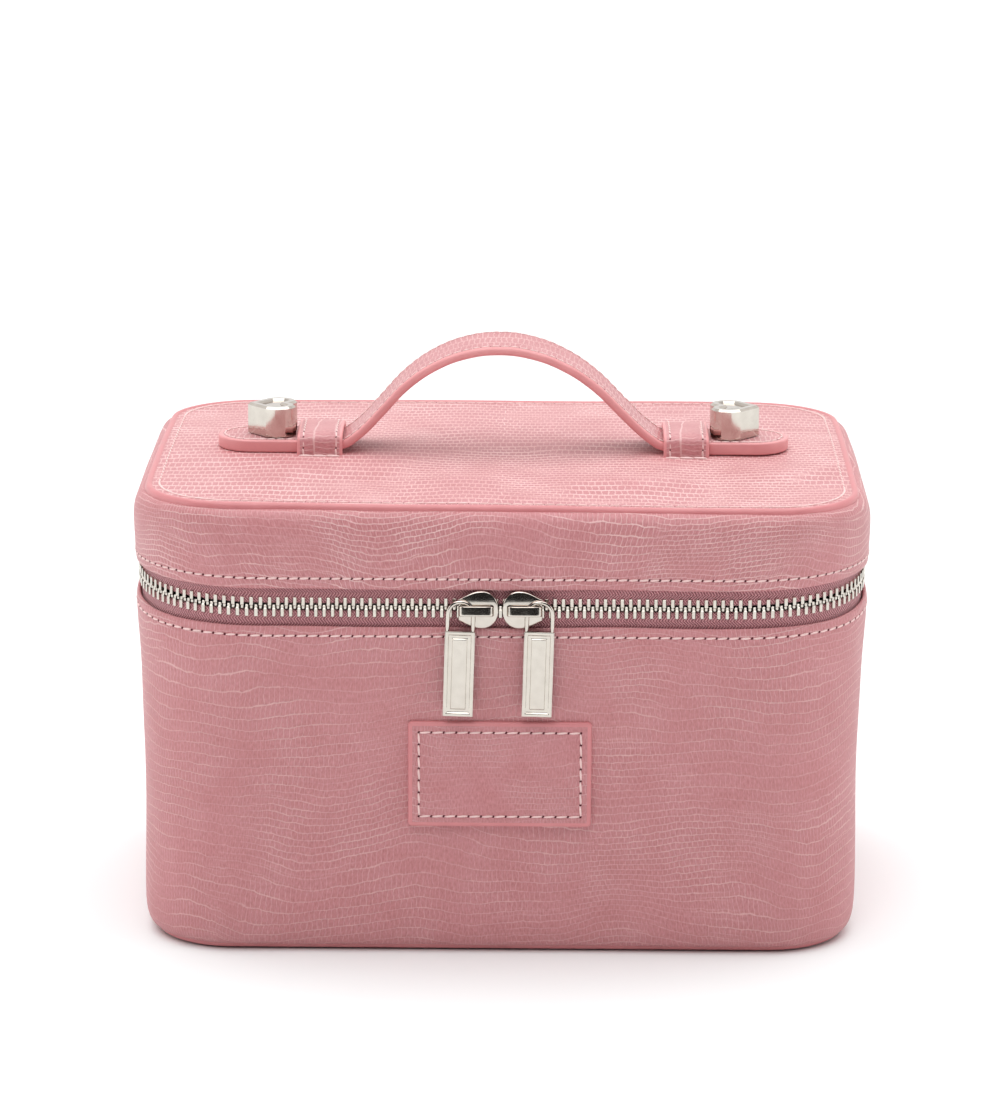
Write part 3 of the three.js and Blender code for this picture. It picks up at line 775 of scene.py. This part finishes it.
# Polished nickel plate over brass or zinc: a warm mirror with faint ripples from tumbling.
nickel = uneven("polished_nickel_plate", "#cac2b9", ("#beb5ac", "#d5cdc4"), 3, 0.09,
                gloss=(0.05, 0.15), bump=(0.12, 0.04), metallic=1.0)


def zip_tape(name, hem, chain_side):
    """A tape from behind a hem to the chain; chain_side is +1 if the chain is above it."""
    edge = ZIP - chain_side * TAPE_EDGE
    cord = edge - chain_side * TAPE_CORD
    neck = cord - 0.5 * chain_side
    halfway = (hem + edge) / 2
    back = TAPE_INSET + TAPE_THICK
    section = [(TAPE_INSET, hem), (TAPE_INSET, halfway), (TAPE_INSET, neck), (TAPE_INSET - 0.35, cord),
               (TAPE_INSET, edge), (TAPE_INSET + 0.5, edge), (TAPE_INSET + 0.9, cord), (back, neck),
               (back, halfway), (back, hem)]
    return wrap_round(name, section, start=ZIP_START, stop=GIRTH - ZIP_START)


def zip_tooth():
    """One tooth: a bar clamped on the tape's edge, with a narrower nose at its -Z end."""
    tooth = block("tooth", TOOTH_WIDE, TOOTH_DEEP, TOOTH_TALL)
    for below in NOSE_STEPS:
        edit(tooth)
        bpy.ops.mesh.bisect(plane_co=(0, 0, -below * MM), plane_no=(0, 0, 1))
        leave_edit()
    pick(tooth, "polygons", lambda face, ends: face.normal.z < -0.9)
    bpy.ops.mesh.select_more()
    bpy.ops.transform.resize(value=NOSE_SHRINK)
    leave_edit()
    ease_edges(tooth, 0.16, 1, 60)
    return tooth


def tooth_row(name, side):
    """The teeth of one tape, half a pitch from those of the other. side is +1 for the lid's."""
    count = round((GIRTH - 2 * ZIP_START) / (TOOTH_PITCH * MM)) - 1
    pitch = (GIRTH - 2 * ZIP_START) / (count + 1)
    inset = CHAIN_INSET + TOOTH_DEEP / 2
    height = ZIP + side * (TOOTH_TALL / 2 - TOOTH_OVERLAP)
    stands = []
    for step in range(count):
        around = ZIP_START + (step + 0.75 + 0.25 * side) * pitch
        origin, out = on_case(around, inset * MM, height * MM)
        stands.append((origin, Vector((out.y, -out.x, 0)) * side, out))
    return repeat(name, zip_tooth(), stands)


for side, foot, body, place in ((-1, HEM - 7, "case_body", "lower"),
                                (1, ZIP * 2 - HEM + 6, "lid", "upper")):
    tape = zip_tape(f"zip_tape_{place}_cloth", foot, -side)
    dress(tape, body, "tape", tape_cloth, stands_for=[f"zip_tape_{place}"])
    teeth = tooth_row(f"zip_teeth_{place}_row", side)
    smooth(teeth, 30)
    dress(teeth, body, "nickel", nickel, stands_for=[f"zip_teeth_{place}"])
coat_nodes(nickel, "zip_stop_left", "zip_stop_right", "stud_screw_left", "stud_screw_right")

# ==== Rear hinge strip ====
# A soft strip of leathercloth across the rear between the tape's ends. It is sewn behind
# both hems.

hinge_strip = wrap_round("rear_hinge_leather", [
    (1.9, HEM - 5), (1.85, HEM - 1.5), (1.2, HEM + 1), (0.95, ZIP - 2.5), (0.9, ZIP), (0.95, ZIP + 2.5),
    (1.2, ZIP + 4.8), (1.85, ZIP + 7.4), (1.9, ZIP + 11), (3.0, ZIP + 11), (2.95, ZIP + 7.2),
    (2.3, ZIP + 4.8), (2.05, ZIP + 2.5), (2.0, ZIP), (2.05, ZIP - 2.5), (2.3, HEM + 1),
    (2.95, HEM - 1.5), (3.0, HEM - 5)], columns=30,
    start=GIRTH - ZIP_START + STRIP_GAP, stop=GIRTH + ZIP_START - STRIP_GAP)
coat(hinge_strip, flat_leather)
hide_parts("rear_hinge_strip")
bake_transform(hinge_strip)

# ==== Lid wall and painted rim ====
# The lid's wall is one more strip of padded leathercloth. It is hemmed along the zip and rolls
# over a padded shoulder to the top panel, whose upright edge is painted and smooth.

LID_HEM = lid_low.z / MM
lid_wall = wrap_round("lid_wall", [
    (0.5, LID_HEM), (0.1, LID_HEM + 0.5), (0.0, LID_HEM + 1.7), (0.0, 124), (0.0, 130.5), (0.08, 134.4),
    (0.4, 137.5), (1.1, 140.0), (2.1, 141.7), (3.2, 142.6), (4.4, 142.9), (5.0, 142.6), (5.0, 141.0),
    (3.8, 140.6), (2.8, 139.2), (2.2, 137), (1.8, 133), (1.7, 127), (1.7, 121),
    (1.6, LID_HEM + 0.8), (1.15, LID_HEM)])
wander(lid_wall, *WALL_DRIFT)
lid_leather = leathercloth("embossed_leathercloth_lid_wall", row=3.1, ridge_strength=0.7, faintest=0.3,
                           shift=19.0)
dress(lid_wall, "lid", "leather", lid_leather, stands_for=["lid_leather_wall"])
LID_SEAM = 3.5
LID_PITCH = 3.3
lid_seam = sew("lid_hem_stitching", lid_wall, round_case(0, LID_HEM + LID_SEAM, LID_PITCH), closed=True)
dress(lid_seam, "lid", "leather")

rim_low, rim_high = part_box("lid_piping")
RIM_INSET = (WIDTH / 2 - rim_high.x) / MM
RIM_LOW, RIM_TOP = rim_low.z / MM, rim_high.z / MM
RIM_WIDE = 1.6
lid_rim = wrap_round("lid_edge_piping", [
    (RIM_INSET + 0.1, RIM_LOW), (RIM_INSET, RIM_LOW + 0.9), (RIM_INSET, RIM_LOW + 2.1),
    (RIM_INSET + 0.25, RIM_TOP - 0.6), (RIM_INSET + 0.75, RIM_TOP - 0.12),
    (RIM_INSET + 1.4, RIM_TOP), (RIM_INSET + 2.1, RIM_TOP - 0.25), (RIM_INSET + 2.7, RIM_TOP - 1),
    (RIM_INSET + 2.8, RIM_LOW + 1), (RIM_INSET + 2.5, RIM_LOW)])
TOP_DRIFT = (0.45, 55)
wander(lid_rim, *TOP_DRIFT)
dress(lid_rim, "lid", "painted_edge", painted, stands_for=["lid_piping"])

# ==== Lid top panel ====
# A panel of leathercloth, lightly padded, lies inside the painted rim; its tones are painted paler
# for the light and sheen on its upturned face. One line of light thread runs round it, a little in
# from the rim.

top_low, top_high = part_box("lid_top_panel")
TOP = top_high.z / MM
top_leather = leathercloth("embossed_leathercloth_top", TOP_LIT_TONES, row=5.0, scale=2.0,
                           row_ridge=0.65, scale_ridge=0.28, ridge_strength=0.95, faintest=0.6,
                           drift_mm=9.0)
top_panel = lay_flat("top_panel", RIM_INSET + RIM_WIDE, top_low.z / MM, TOP + 0.05, dish=0.25, cells=60)
wander(top_panel, *TOP_DRIFT)
dress(top_panel, "lid", "pale_leather", top_leather, stands_for=["lid_top_panel"])
TOP_SEAM = 4.4
TOP_PITCH = 3.0
top_seam = sew("top_panel_stitching", top_panel,
               round_case(RIM_INSET + TOP_SEAM, TOP, TOP_PITCH), closed=True, hole_mm=PIN_MM)
dress(top_seam, "lid", "pale_leather")

# ==== Lid lining, mirror and surround ====
# The lid is lined like the body. A silvered glass mirror lies against its ceiling, held by a
# frame of stiffened leathercloth that is sewn round its inner edge.

lid_lining_low, lid_lining_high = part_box("lid_lining")
LID_RIM = lid_lining_low.z / MM - 0.3
CEILING = lid_lining_high.z / MM
lid_lining = lined("lid_lining_cloth", [
    (LINING_INSET, CEILING), (LINING_INSET, LID_RIM + 0.4), (LINING_INSET - 0.5, LID_RIM),
    (3.6, LID_RIM), (3.0, LID_RIM - 0.4), (3.6, LID_RIM - 0.8), (LINING_INSET, LID_RIM - 0.8),
    (LINING_INSET + 0.7, LID_RIM - 0.4), (LINING_INSET + 0.9, LID_RIM + 0.6),
    (LINING_INSET + 0.9, CEILING - 0.8)], CEILING - 0.8, CEILING, 0)
dress(lid_lining, "lid", "lining", lining_cloth, stands_for=["lid_lining"])


def softened_copy(node, name, width=0, segments=2):
    """A new piece from a CAD node's mesh, merged and with its edges eased by width, in mm."""
    piece = frame["nodes"][node].copy()
    piece.data = piece.data.copy()
    piece.data.materials.clear()
    piece.parent = None
    for key in list(piece.keys()):
        del piece[key]
    piece.name = name
    bpy.context.scene.collection.objects.link(piece)
    edit(piece)
    bpy.ops.mesh.remove_doubles(threshold=0.001 * MM)
    bpy.ops.mesh.dissolve_limited(angle_limit=math.radians(2))
    leave_edit()
    if width:
        ease_edges(piece, width, segments, 40)
    smooth(piece, 35)
    return piece


# Silvered float glass: a clear, faintly cool mirror with the least haze.
silvered_glass = uneven("silvered_glass", "#e6ecee", None, 40, 0.02, gloss=(0.01, 0.05), detail=3.0,
                        metallic=1.0)
mirror = softened_copy("lid_mirror", "lid_mirror_glass", 0.5)
dress(mirror, "lid", "mirror_glass", silvered_glass, stands_for=["lid_mirror"])
surround = softened_copy("mirror_surround", "mirror_surround_leather", 0.7, 3)
flat_map(surround)
dress(surround, "lid", "leather", flat_leather, stands_for=["mirror_surround"])

# ==== Handle: keepers, strap and strap ends ====
# A flat strap of two leathercloth faces over a stiff core, sewn along both sides and edge
# painted. Its ends run under keepers sewn through the lid, and slide out as the handle is
# pressed down.

strap_low, strap_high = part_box("handle_strap")
end_low, end_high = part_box("strap_end_right")
keeper_low, keeper_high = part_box("keeper_right")
STRAP_WIDTH = (strap_high.y - strap_low.y) / MM
STRAP_THICK = (end_high.z - end_low.z) / MM
STRAP_SEAM = 2.0
STRAP_PITCH = 3.0
END_START = 1.5
END_PITCH = 2.95
END_RIM = 1.3
ARCH_THICK = 2.8
STRAP_LEAN = 1.4
STRAP_TILT = 0.53
BAND_THICK = 1.7
BAND_SEAM = 2.1
BAND_HOLE_MM = 0.65
TACK_STEP = 4.3
TACK_OUT = 3.0
# The strap, its ends and keepers take a lighter copy of the same edge paint: painted light, for the
# front light that their edges catch.
strap_paint_lit = edge_paint("acrylic_edge_paint_strap_lit", "#dc9092", "#eca5a6")
# The strap's leathercloth takes the tones painted paler for the light on upturned faces, as the top
# panel's does.
strap_leather = leathercloth("embossed_leathercloth_strap", TOP_LIT_TONES, row=7.5, scale=1.7,
                             row_ridge=0.4, scale_ridge=0.3, ridge_strength=0.8, faintest=0.6,
                             drift_mm=5.0, shift=53.0)


def new_curve(name):
    bpy.ops.object.select_all(action="DESELECT")
    bpy.ops.curve.primitive_bezier_curve_add()
    curve = bpy.context.object
    curve.name = name
    return curve


def smooth_line(points, steps):
    """A smooth line through the points, with that many steps from each to the next."""
    curve = new_curve("line")
    spline = curve.data.splines[0]
    spline.bezier_points.add(len(points) - 2)
    for knot, point in zip(spline.bezier_points, points):
        knot.co = point
    curve.data.resolution_u = steps
    bpy.ops.object.mode_set(mode="EDIT")
    bpy.ops.curve.select_all(action="SELECT")
    bpy.ops.curve.handle_type_set(type="AUTOMATIC")
    leave_edit()
    bpy.ops.object.convert(target="MESH")
    line = [vertex.co.copy() for vertex in bpy.context.object.data.vertices]
    bpy.data.objects.remove(bpy.context.object)
    return line


def ribbon(name, line, across, width, thick, ease=1.1):
    """A strip along a line of points in metres, across its width that way. Its rounded rims
    take material 1. Its UV map is the strip laid flat."""
    half, up = width / 2, thick / 2
    turns = [math.radians(angle) for angle in (58, 22, -22, -58)]
    face = [(-half + ease, up), (-half / 2, up), (0, up), (half / 2, up), (half - ease, up)]
    rim = [(half - ease + ease * math.cos(turn), up * math.sin(turn)) for turn in turns]
    section = face + rim + [(-x, -y) for x, y in face + rim]
    rows = len(section)
    laid = run_along(section + section[:1])
    steps = run_along(line)
    piece = sheet_grid(name, len(line) - 1, rows)
    for polygon in piece.data.polygons:
        row = int((polygon.center.y + 1) / 2 * rows)
        polygon.material_index = 0 if row % (rows // 2) < len(face) - 1 else 1
    for corner in piece.data.uv_layers[0].data:
        column, row = corner.uv
        corner.uv = (steps[round(column * (len(line) - 1))], laid[round(row * rows)] * MM)
    for vertex in piece.data.vertices:
        column = round((vertex.co.x + 1) / 2 * (len(line) - 1))
        over, rise = section[round((vertex.co.y + 1) / 2 * rows) % rows]
        along = line[min(column + 1, len(line) - 1)] - line[max(column - 1, 0)]
        vertex.co = line[column] + across * over * MM + along.cross(across).normalized() * rise * MM
    close_up(piece, fill=True)
    finish_with(piece, "SUBSURF", levels=1, render_levels=1)
    smooth(piece)
    return piece


def beside(line, across, over, rise, pitch):
    """Needle points along a line, over to one side and above it, in mm, a pitch apart."""
    points = [line[0]]
    for here in line:
        while (here - points[-1]).length >= pitch * MM:
            points.append(points[-1] + (here - points[-1]).normalized() * pitch * MM)
    lifted = []
    for step, point in enumerate(points):
        along = points[min(step + 1, len(points) - 1)] - points[max(step - 1, 0)]
        up = along.cross(across).normalized()
        lifted.append(point + across * over * MM + up * rise * MM)
    return lifted


# The bell-shaped line of the strap's middle, from the crown to where it meets an end piece.
CROWN_RISE = 0.23
CROWN = strap_high.z / MM - STRAP_THICK / 2 + CROWN_RISE
FOOT = end_low.z / MM + STRAP_THICK / 2
HALF_BELL = [(0, CROWN), (10, CROWN - 1.2), (20, CROWN - 4.95), (30, CROWN - 11.75),
             (38, CROWN - 20), (44, FOOT + 5.5), (47.2, FOOT + 2.8), (50, FOOT + 0.9),
             (strap_high.x / MM, FOOT)]
bell = [Vector((-x * MM, 0, z * MM)) for x, z in reversed(HALF_BELL)]
bell += [Vector((x * MM, 0, z * MM)) for x, z in HALF_BELL[1:]]
bell = smooth_line(bell, 6)
for spot in bell:
    spot.x -= STRAP_LEAN * MM * (spot.z / MM - FOOT) / (CROWN - FOOT)
REAR = Vector((0, 1, 0))
LEFT = Vector((-1, 0, 0))
strap = ribbon("handle_strap_leather", bell, REAR, STRAP_WIDTH, ARCH_THICK)
for vertex in strap.data.vertices:
    share = (vertex.co.z / MM - FOOT) / (CROWN - FOOT)
    vertex.co.z += STRAP_TILT * MM * max(share, 0) * vertex.co.y / (STRAP_WIDTH / 2 * MM)
coat(strap, strap_leather, strap_paint_lit)
seam_over = STRAP_WIDTH / 2 - STRAP_SEAM
strap = join(strap, *[sew(f"strap_seam_{step}", strap, beside(
    bell, REAR, over * seam_over, ARCH_THICK / 2, STRAP_PITCH), hole_mm=PIN_MM)
    for step, over in enumerate((-1, 1))])
dress(strap, "lid", "pale_leather", stands_for=["handle_strap"])
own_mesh(strap)

for side, sign in (("left", -1), ("right", 1)):
    # The end piece: the same strap, flat on the lid, with a half-round tip.
    length = (end_high.x - end_low.x) / MM
    end = painted_plate(f"strap_end_{side}_leather", length, STRAP_WIDTH, STRAP_THICK, 0, END_RIM,
                        round_end=STRAP_WIDTH / 2 - 0.05)
    centre_x = (end_high.x + end_low.x) / 2
    turn_into(end, Matrix.Translation((sign * centre_x, 0, (end_low.z + end_high.z) / 2))
              @ Matrix.Rotation(0 if sign > 0 else math.pi, 4, "Z"))
    flat_map(end)
    smooth(end, 50)
    coat(end, strap_leather, strap_paint_lit)
    tip = end_high.x / MM - STRAP_WIDTH / 2
    straight = np.arange(end_low.x / MM + END_START, tip, END_PITCH)
    route = [Vector((x, -seam_over, 0)) for x in straight]
    route += [Vector((tip + seam_over * math.cos(turn), seam_over * math.sin(turn), 0))
              for turn in np.linspace(-math.pi / 2, math.pi / 2, 11)]
    route += [Vector((x, seam_over, 0)) for x in reversed(straight)]
    route = [Vector((sign * spot.x, spot.y, end_high.z / MM)) * MM for spot in route]
    end = join(end, sew(f"strap_end_seam_{side}", end, route, hole_mm=PIN_MM))
    dress(end, f"{side}_strap_end", "pale_leather", stands_for=[f"strap_end_{side}"])

    # The keeper: a short band over the strap, sewn along both edges and through the lid.
    band_length = (keeper_high.x - keeper_low.x) / MM
    low, high = TOP - 0.8, keeper_high.z / MM - BAND_THICK / 2
    wide = keeper_high.y / MM - BAND_THICK / 2
    x = sign * (keeper_low.x + keeper_high.x) / 2
    loop = [(-wide - 0.5, low), (-wide - 0.15, (low + high) / 2), (-wide, high - 1.9),
            (-wide + 0.5, high - 0.4), (-wide + 1.9, high + 0.25), (-wide / 2, high + 0.7)]
    loop = loop + [(0, high + 0.8)] + [(-y, z) for y, z in reversed(loop)]
    loop = smooth_line([Vector((x, y * MM, z * MM)) for y, z in loop], 3)
    keeper = ribbon(f"keeper_{side}_leather", loop, LEFT, band_length, BAND_THICK, ease=0.5)
    coat(keeper, strap_leather, strap_paint_lit)
    keeper = join(keeper, *[sew(f"keeper_seam_{side}_{step}", keeper, beside(
        loop, LEFT, over * (band_length / 2 - BAND_SEAM), BAND_THICK / 2, STRAP_PITCH),
        hole_mm=BAND_HOLE_MM) for step, over in enumerate((-1, 1))])
    dress(keeper, "lid", "pale_leather", stands_for=[f"keeper_{side}"])

    # Three heavy stitches through the lid in front of the keeper, and three behind it.
    tacks = [(Vector((x + step * TACK_STEP * MM, face * (wide + TACK_OUT) * MM, (TOP + 0.25) * MM)),
              Vector((1, 0.1 * face, 0)), Vector((0, 0, 1)))
             for face in (-1, 1) for step in (-1, 0, 1)]
    tacks = repeat(f"keeper_tacks_{side}", drop("tack", 4.6, 0.9, 1.1, 10, 8), tacks)
    dress(tacks, "lid", "pale_leather", thread)

# ==== Studs ====
# Die-cast zinc blocks, polished and nickel plated, with a bevelled heart outline that points
# outward and a sunk top. A screw from below clamps each one on its strap end.

STUD_BORDER = 1.5
STUD_SLOPE = 0.5
STUD_SUNK = 0.7
for side in ("left", "right"):
    stud = softened_copy(f"stud_{side}", f"stud_{side}_casting")
    top = max(vertex.co.z for vertex in stud.data.vertices)
    pick(stud, "polygons", lambda face, ends: face.normal.z > 0.9 and face.center.z > top - 0.1 * MM)
    bpy.ops.mesh.inset(thickness=STUD_BORDER * MM, depth=0)
    bpy.ops.mesh.inset(thickness=STUD_SLOPE * MM, depth=-STUD_SUNK * MM)
    leave_edit()
    ease_edges(stud, 0.22, 2, 12)
    smooth(stud, 12)
    dress(stud, f"{side}_strap_end", "nickel", nickel, stands_for=[f"stud_{side}"])

# ==== Zip sliders and pulls ====
# Each slider is one die casting: two shield-shaped plates, a post between them and a bridge
# that keeps the pull's wire ring. The tab is cast round the ring's feet.

slider_low, slider_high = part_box("slider_right")
ring_low, ring_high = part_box("pull_ring_right")
tab_low, tab_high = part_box("pull_tab_right")
SLIDER_LONG = (slider_high.x - slider_low.x) / MM
SLIDER_TALL = (slider_high.z - slider_low.z) / MM
PLATE = 1.3
BRIDGE_TALL = 3.2
BRIDGE_THICK = 1.1
BRIDGE_LEAN = 9
BRIDGE_STANDS = 3.2
BRIDGE_END = 4.8
WIRE = 0.6
WIRE_SHOWN = 0.75
TAB_LEAN = 1.5
# From a tab's edge inwards, the width of each step and how far it rises: the flat border, the
# slope into the recess, the recess and the rib's slope.
TAB_STEPS = ((0.9, 0), (0.4, -0.5), (0.9, 0), (0.3, 0.4))
SHIELD_EASE = 0.4


def shield_plate(name, front, dome=0.0):
    """A plate in the slider's own frame, nose at +X, with its front at that Y, in mm. dome is how
    far its rim falls back from its middle."""
    long, tall = SLIDER_LONG / 2, SLIDER_TALL / 2
    knots = [((-long, 3.4), (-long, 1.5), (-long + 1.6, 3.6)), ((1, tall), (-2.6, tall), (4.2, tall)),
             ((long, 0), (long, 3.2), (long, -3.2)), ((1, -tall), (4.2, -tall), (-2.6, -tall)),
             ((-long, -3.4), (-long + 1.6, -3.6), (-long, -1.5))]
    curve = new_curve(name)
    curve.data.dimensions = "2D"
    curve.data.fill_mode = "BOTH"
    curve.data.resolution_u = 10
    spline = curve.data.splines[0]
    spline.bezier_points.add(len(knots) - 2)
    spline.use_cyclic_u = True
    for knot, (spot, before, after) in zip(spline.bezier_points, knots):
        knot.handle_left_type = knot.handle_right_type = "FREE"
        knot.co = (spot[0] * MM, spot[1] * MM, 0)
        knot.handle_left = (before[0] * MM, before[1] * MM, 0)
        knot.handle_right = (after[0] * MM, after[1] * MM, 0)
    curve.data.extrude = (PLATE / 2 - SHIELD_EASE) * MM
    curve.data.bevel_depth = SHIELD_EASE * MM
    curve.data.bevel_resolution = 3
    curve.data.offset = -SHIELD_EASE * MM
    bpy.ops.object.convert(target="MESH")
    plate = bpy.context.object
    close_up(plate)
    for step in range(-4, 5):
        for way in ((1, 0, 0), (0, 1, 0)):
            edit(plate)
            bpy.ops.mesh.bisect(plane_co=Vector(way) * step * 1.2 * MM, plane_no=way)
            leave_edit()
    for vertex in plate.data.vertices:
        share = (vertex.co.x / long / MM) ** 2 * 0.4 + (vertex.co.y / tall / MM) ** 2
        vertex.co.z -= dome * share * MM
    turn_into(plate, Matrix.Translation((0, (front + PLATE / 2) * MM, 0))
              @ Matrix.Rotation(math.pi / 2, 4, "X"))
    return plate


def zip_slider(name):
    """A slider in its own frame: nose at +X, front at -Y, chain along X, measures in mm."""
    face = slider_low.y / MM + BRIDGE_STANDS
    out = face - BRIDGE_STANDS + BRIDGE_THICK / 2
    tail, end = -SLIDER_LONG / 2 + BRIDGE_THICK / 2, BRIDGE_END - BRIDGE_THICK / 2
    front = shield_plate(name, face - 0.7, 0.8)
    rear = shield_plate(name + "_rear", -DEPTH / 2 / MM + 3.8)
    line = [(tail, face + 0.4), (tail, face - 0.9), (tail + 0.12, out + 0.5), (tail + 0.7, out),
            (tail + 2.2, out), ((tail + end) / 2, out), (end - 2.2, out), (end - 0.7, out),
            (end - 0.12, out + 0.5), (end, face - 0.9), (end, face + 0.4)]
    line = [Vector((x * MM, y * MM, 0.2 * MM)) for x, y in line]
    bridge = ribbon(name + "_bridge", line, Vector((0, 0, -1)), BRIDGE_TALL, BRIDGE_THICK, ease=0.25)
    turn_into(bridge, Matrix.Translation((0, out * MM, 0)) @ Matrix.Rotation(
        math.radians(-BRIDGE_LEAN), 4, "X") @ Matrix.Translation((0, -out * MM, 0)))
    post = block(name + "_post", 4, 3.4, 0.6, (2.5, face + 2.6, 0))
    return join(front, rear, bridge, post)


def wire_ring(name, spread, crest, foot):
    """A D-shaped wire loop in the XZ plane round the bridge's leg; its feet point down."""
    centre = crest - spread
    points = [(-spread, foot), (-spread, centre - 1.6)]
    points += [(-spread * math.cos(turn), centre + spread * math.sin(turn))
               for turn in np.linspace(0, math.pi, 9)]
    points += [(spread, centre - 1.6), (spread, foot)]
    curve = new_curve(name)
    curve.data.splines.clear()
    spline = curve.data.splines.new("POLY")
    spline.points.add(len(points) - 1)
    for knot, (x, z) in zip(spline.points, points):
        knot.co = (x * MM, 0, z * MM, 1)
    curve.data.dimensions = "3D"
    curve.data.bevel_depth = WIRE_SHOWN * MM
    curve.data.bevel_resolution = 3
    curve.data.use_fill_caps = True
    bpy.ops.object.convert(target="MESH")
    ring = bpy.context.object
    close_up(ring)
    finish_with(ring, "SUBSURF", levels=1, render_levels=1)
    return ring


def pull_tab(name, width, thick, length, top):
    """A cast tab in the XZ plane with a raised border and a plain raised rib on each face."""
    tab = block(name, width, thick, length, (0, 0, top - length / 2))
    pick(tab, "polygons", lambda face, ends: abs(face.normal.y) > 0.9)
    for step, rise in TAB_STEPS:
        bpy.ops.mesh.inset(thickness=step * MM, depth=rise * MM, use_individual=True)
    leave_edit()
    ease_edges(tab, 0.18, 3, 25)
    return tab


slider_centre = (slider_low.x + slider_high.x) / 2
pull_x = (ring_low.x + ring_high.x) / 2
pull_y = (ring_low.y + ring_high.y) / 2
crest = ring_high.z / MM - ZIP - WIRE
for side, sign in (("left", -1), ("right", 1)):
    flip = Matrix.Scale(1 if sign < 0 else -1, 4, (1, 0, 0))
    slider = zip_slider(f"slider_{side}_casting")
    turn_into(slider, Matrix.Translation((sign * slider_centre, 0, ZIP * MM)) @ flip)
    close_up(slider)
    smooth(slider, 35)
    dress(slider, f"{side}_slider", "nickel", nickel, stands_for=[f"slider_{side}"])
    lean = Matrix.Translation((sign * pull_x, pull_y, ZIP * MM)) @ Matrix.Rotation(
        math.radians(TAB_LEAN), 4, "Y")
    ring = wire_ring(f"pull_ring_{side}_wire", (ring_high.x - ring_low.x) / 2 / MM - WIRE, crest,
                     tab_high.z / MM - ZIP - 0.8)
    turn_into(ring, lean)
    smooth(ring)
    dress(ring, f"{side}_pull", "nickel", nickel, stands_for=[f"pull_ring_{side}"])
    tab = pull_tab(f"pull_tab_{side}_casting", (tab_high.x - tab_low.x) / MM,
                   (tab_high.y - tab_low.y) / MM, (tab_high.z - tab_low.z) / MM,
                   tab_high.z / MM - ZIP)
    turn_into(tab, lean)
    smooth(tab, 20)
    dress(tab, f"{side}_pull", "nickel", nickel, stands_for=[f"pull_tab_{side}"])

# ==== Floor, light and camera ====
# The case stands on a white sweep that runs out of sight. The light is wide and soft: from
# overhead, from a pale room that darkens to the front, and from three softboxes.

FLOOR_SIZE = 30.0
bpy.ops.object.select_all(action="DESELECT")
bpy.ops.mesh.primitive_plane_add(size=FLOOR_SIZE)
floor = bpy.context.object
floor.name = "studio_floor"
# Matt emulsion on board: white, without shine, so that the floor stays even.
floor_paint, _ = new_material("matt_white_floor", "#f3f6f6", 0.9, specular=0.2)
coat(floor, floor_paint)

world = bpy.data.worlds.new("studio")
bpy.context.scene.world = world
world.use_nodes = True
background = world.node_tree.nodes["Background"]
background.inputs["Color"].default_value = (1, 1, 1, 1)
way = add_node(world, "TexCoord").outputs["Generated"]
to_rear = add_node(world, "SeparateXYZ", Vector=way).outputs["Y"]
shade = add_node(world, "MapRange", Value=to_rear, From_Min=-0.3, From_Max=0.35, To_Min=0.03,
                 To_Max=1.02)
connect(world, shade.outputs[0], background, "Strength")


def soft_light(name, place, size, power):
    """Adds a wide square light aimed at the middle of the case."""
    bpy.ops.object.light_add(type="AREA", location=place)
    light = bpy.context.object
    light.name = name
    light.data.size = size
    light.data.energy = power
    aim = Vector((0, 0, 0.07)) - Vector(place)
    light.rotation_euler = aim.to_track_quat("-Z", "Y").to_euler()


bpy.ops.object.light_add(type="SUN", rotation=(math.radians(3), 0, 0))
canopy = bpy.context.object
canopy.name = "overhead_canopy"
canopy.data.energy = 2.4
canopy.data.angle = math.radians(75)
soft_light("front_softbox", (-0.3, -1.5, 1.7), 1.0, 7)
soft_light("left_softbox", (-1.5, -0.5, 0.5), 0.8, 4)
soft_light("right_softbox", (1.5, -0.5, 0.5), 0.8, 4)

CAMERA_TARGET = Vector((0, 0, 0.069))
CAMERA_DISTANCE = 1.4263
CAMERA_RISE = math.radians(13.95)
CAMERA_SIDE = math.radians(0.5)
CAMERA_ROLL = math.radians(0.246)
CAMERA_LENS = 143.32
CAMERA_SLIDE = -0.00075
CAMERA_LIFT = 0.04009
back = Vector((math.sin(CAMERA_SIDE) * math.cos(CAMERA_RISE),
               -math.cos(CAMERA_SIDE) * math.cos(CAMERA_RISE), math.sin(CAMERA_RISE)))
level = Vector((0, 0, 1)).cross(back).normalized()
upright = back.cross(level)
right = level * math.cos(CAMERA_ROLL) + upright * math.sin(CAMERA_ROLL)
up = upright * math.cos(CAMERA_ROLL) - level * math.sin(CAMERA_ROLL)
eye = CAMERA_TARGET + back * CAMERA_DISTANCE + right * CAMERA_SLIDE + up * CAMERA_LIFT
bpy.ops.object.camera_add()
camera = bpy.context.object
camera.data.lens = CAMERA_LENS
camera.data.sensor_width = 36
camera.matrix_world = Matrix.Translation(eye) @ Matrix((right, up, back)).transposed().to_4x4()
bpy.context.scene.camera = camera
bpy.context.scene.view_settings.view_transform = "Standard"
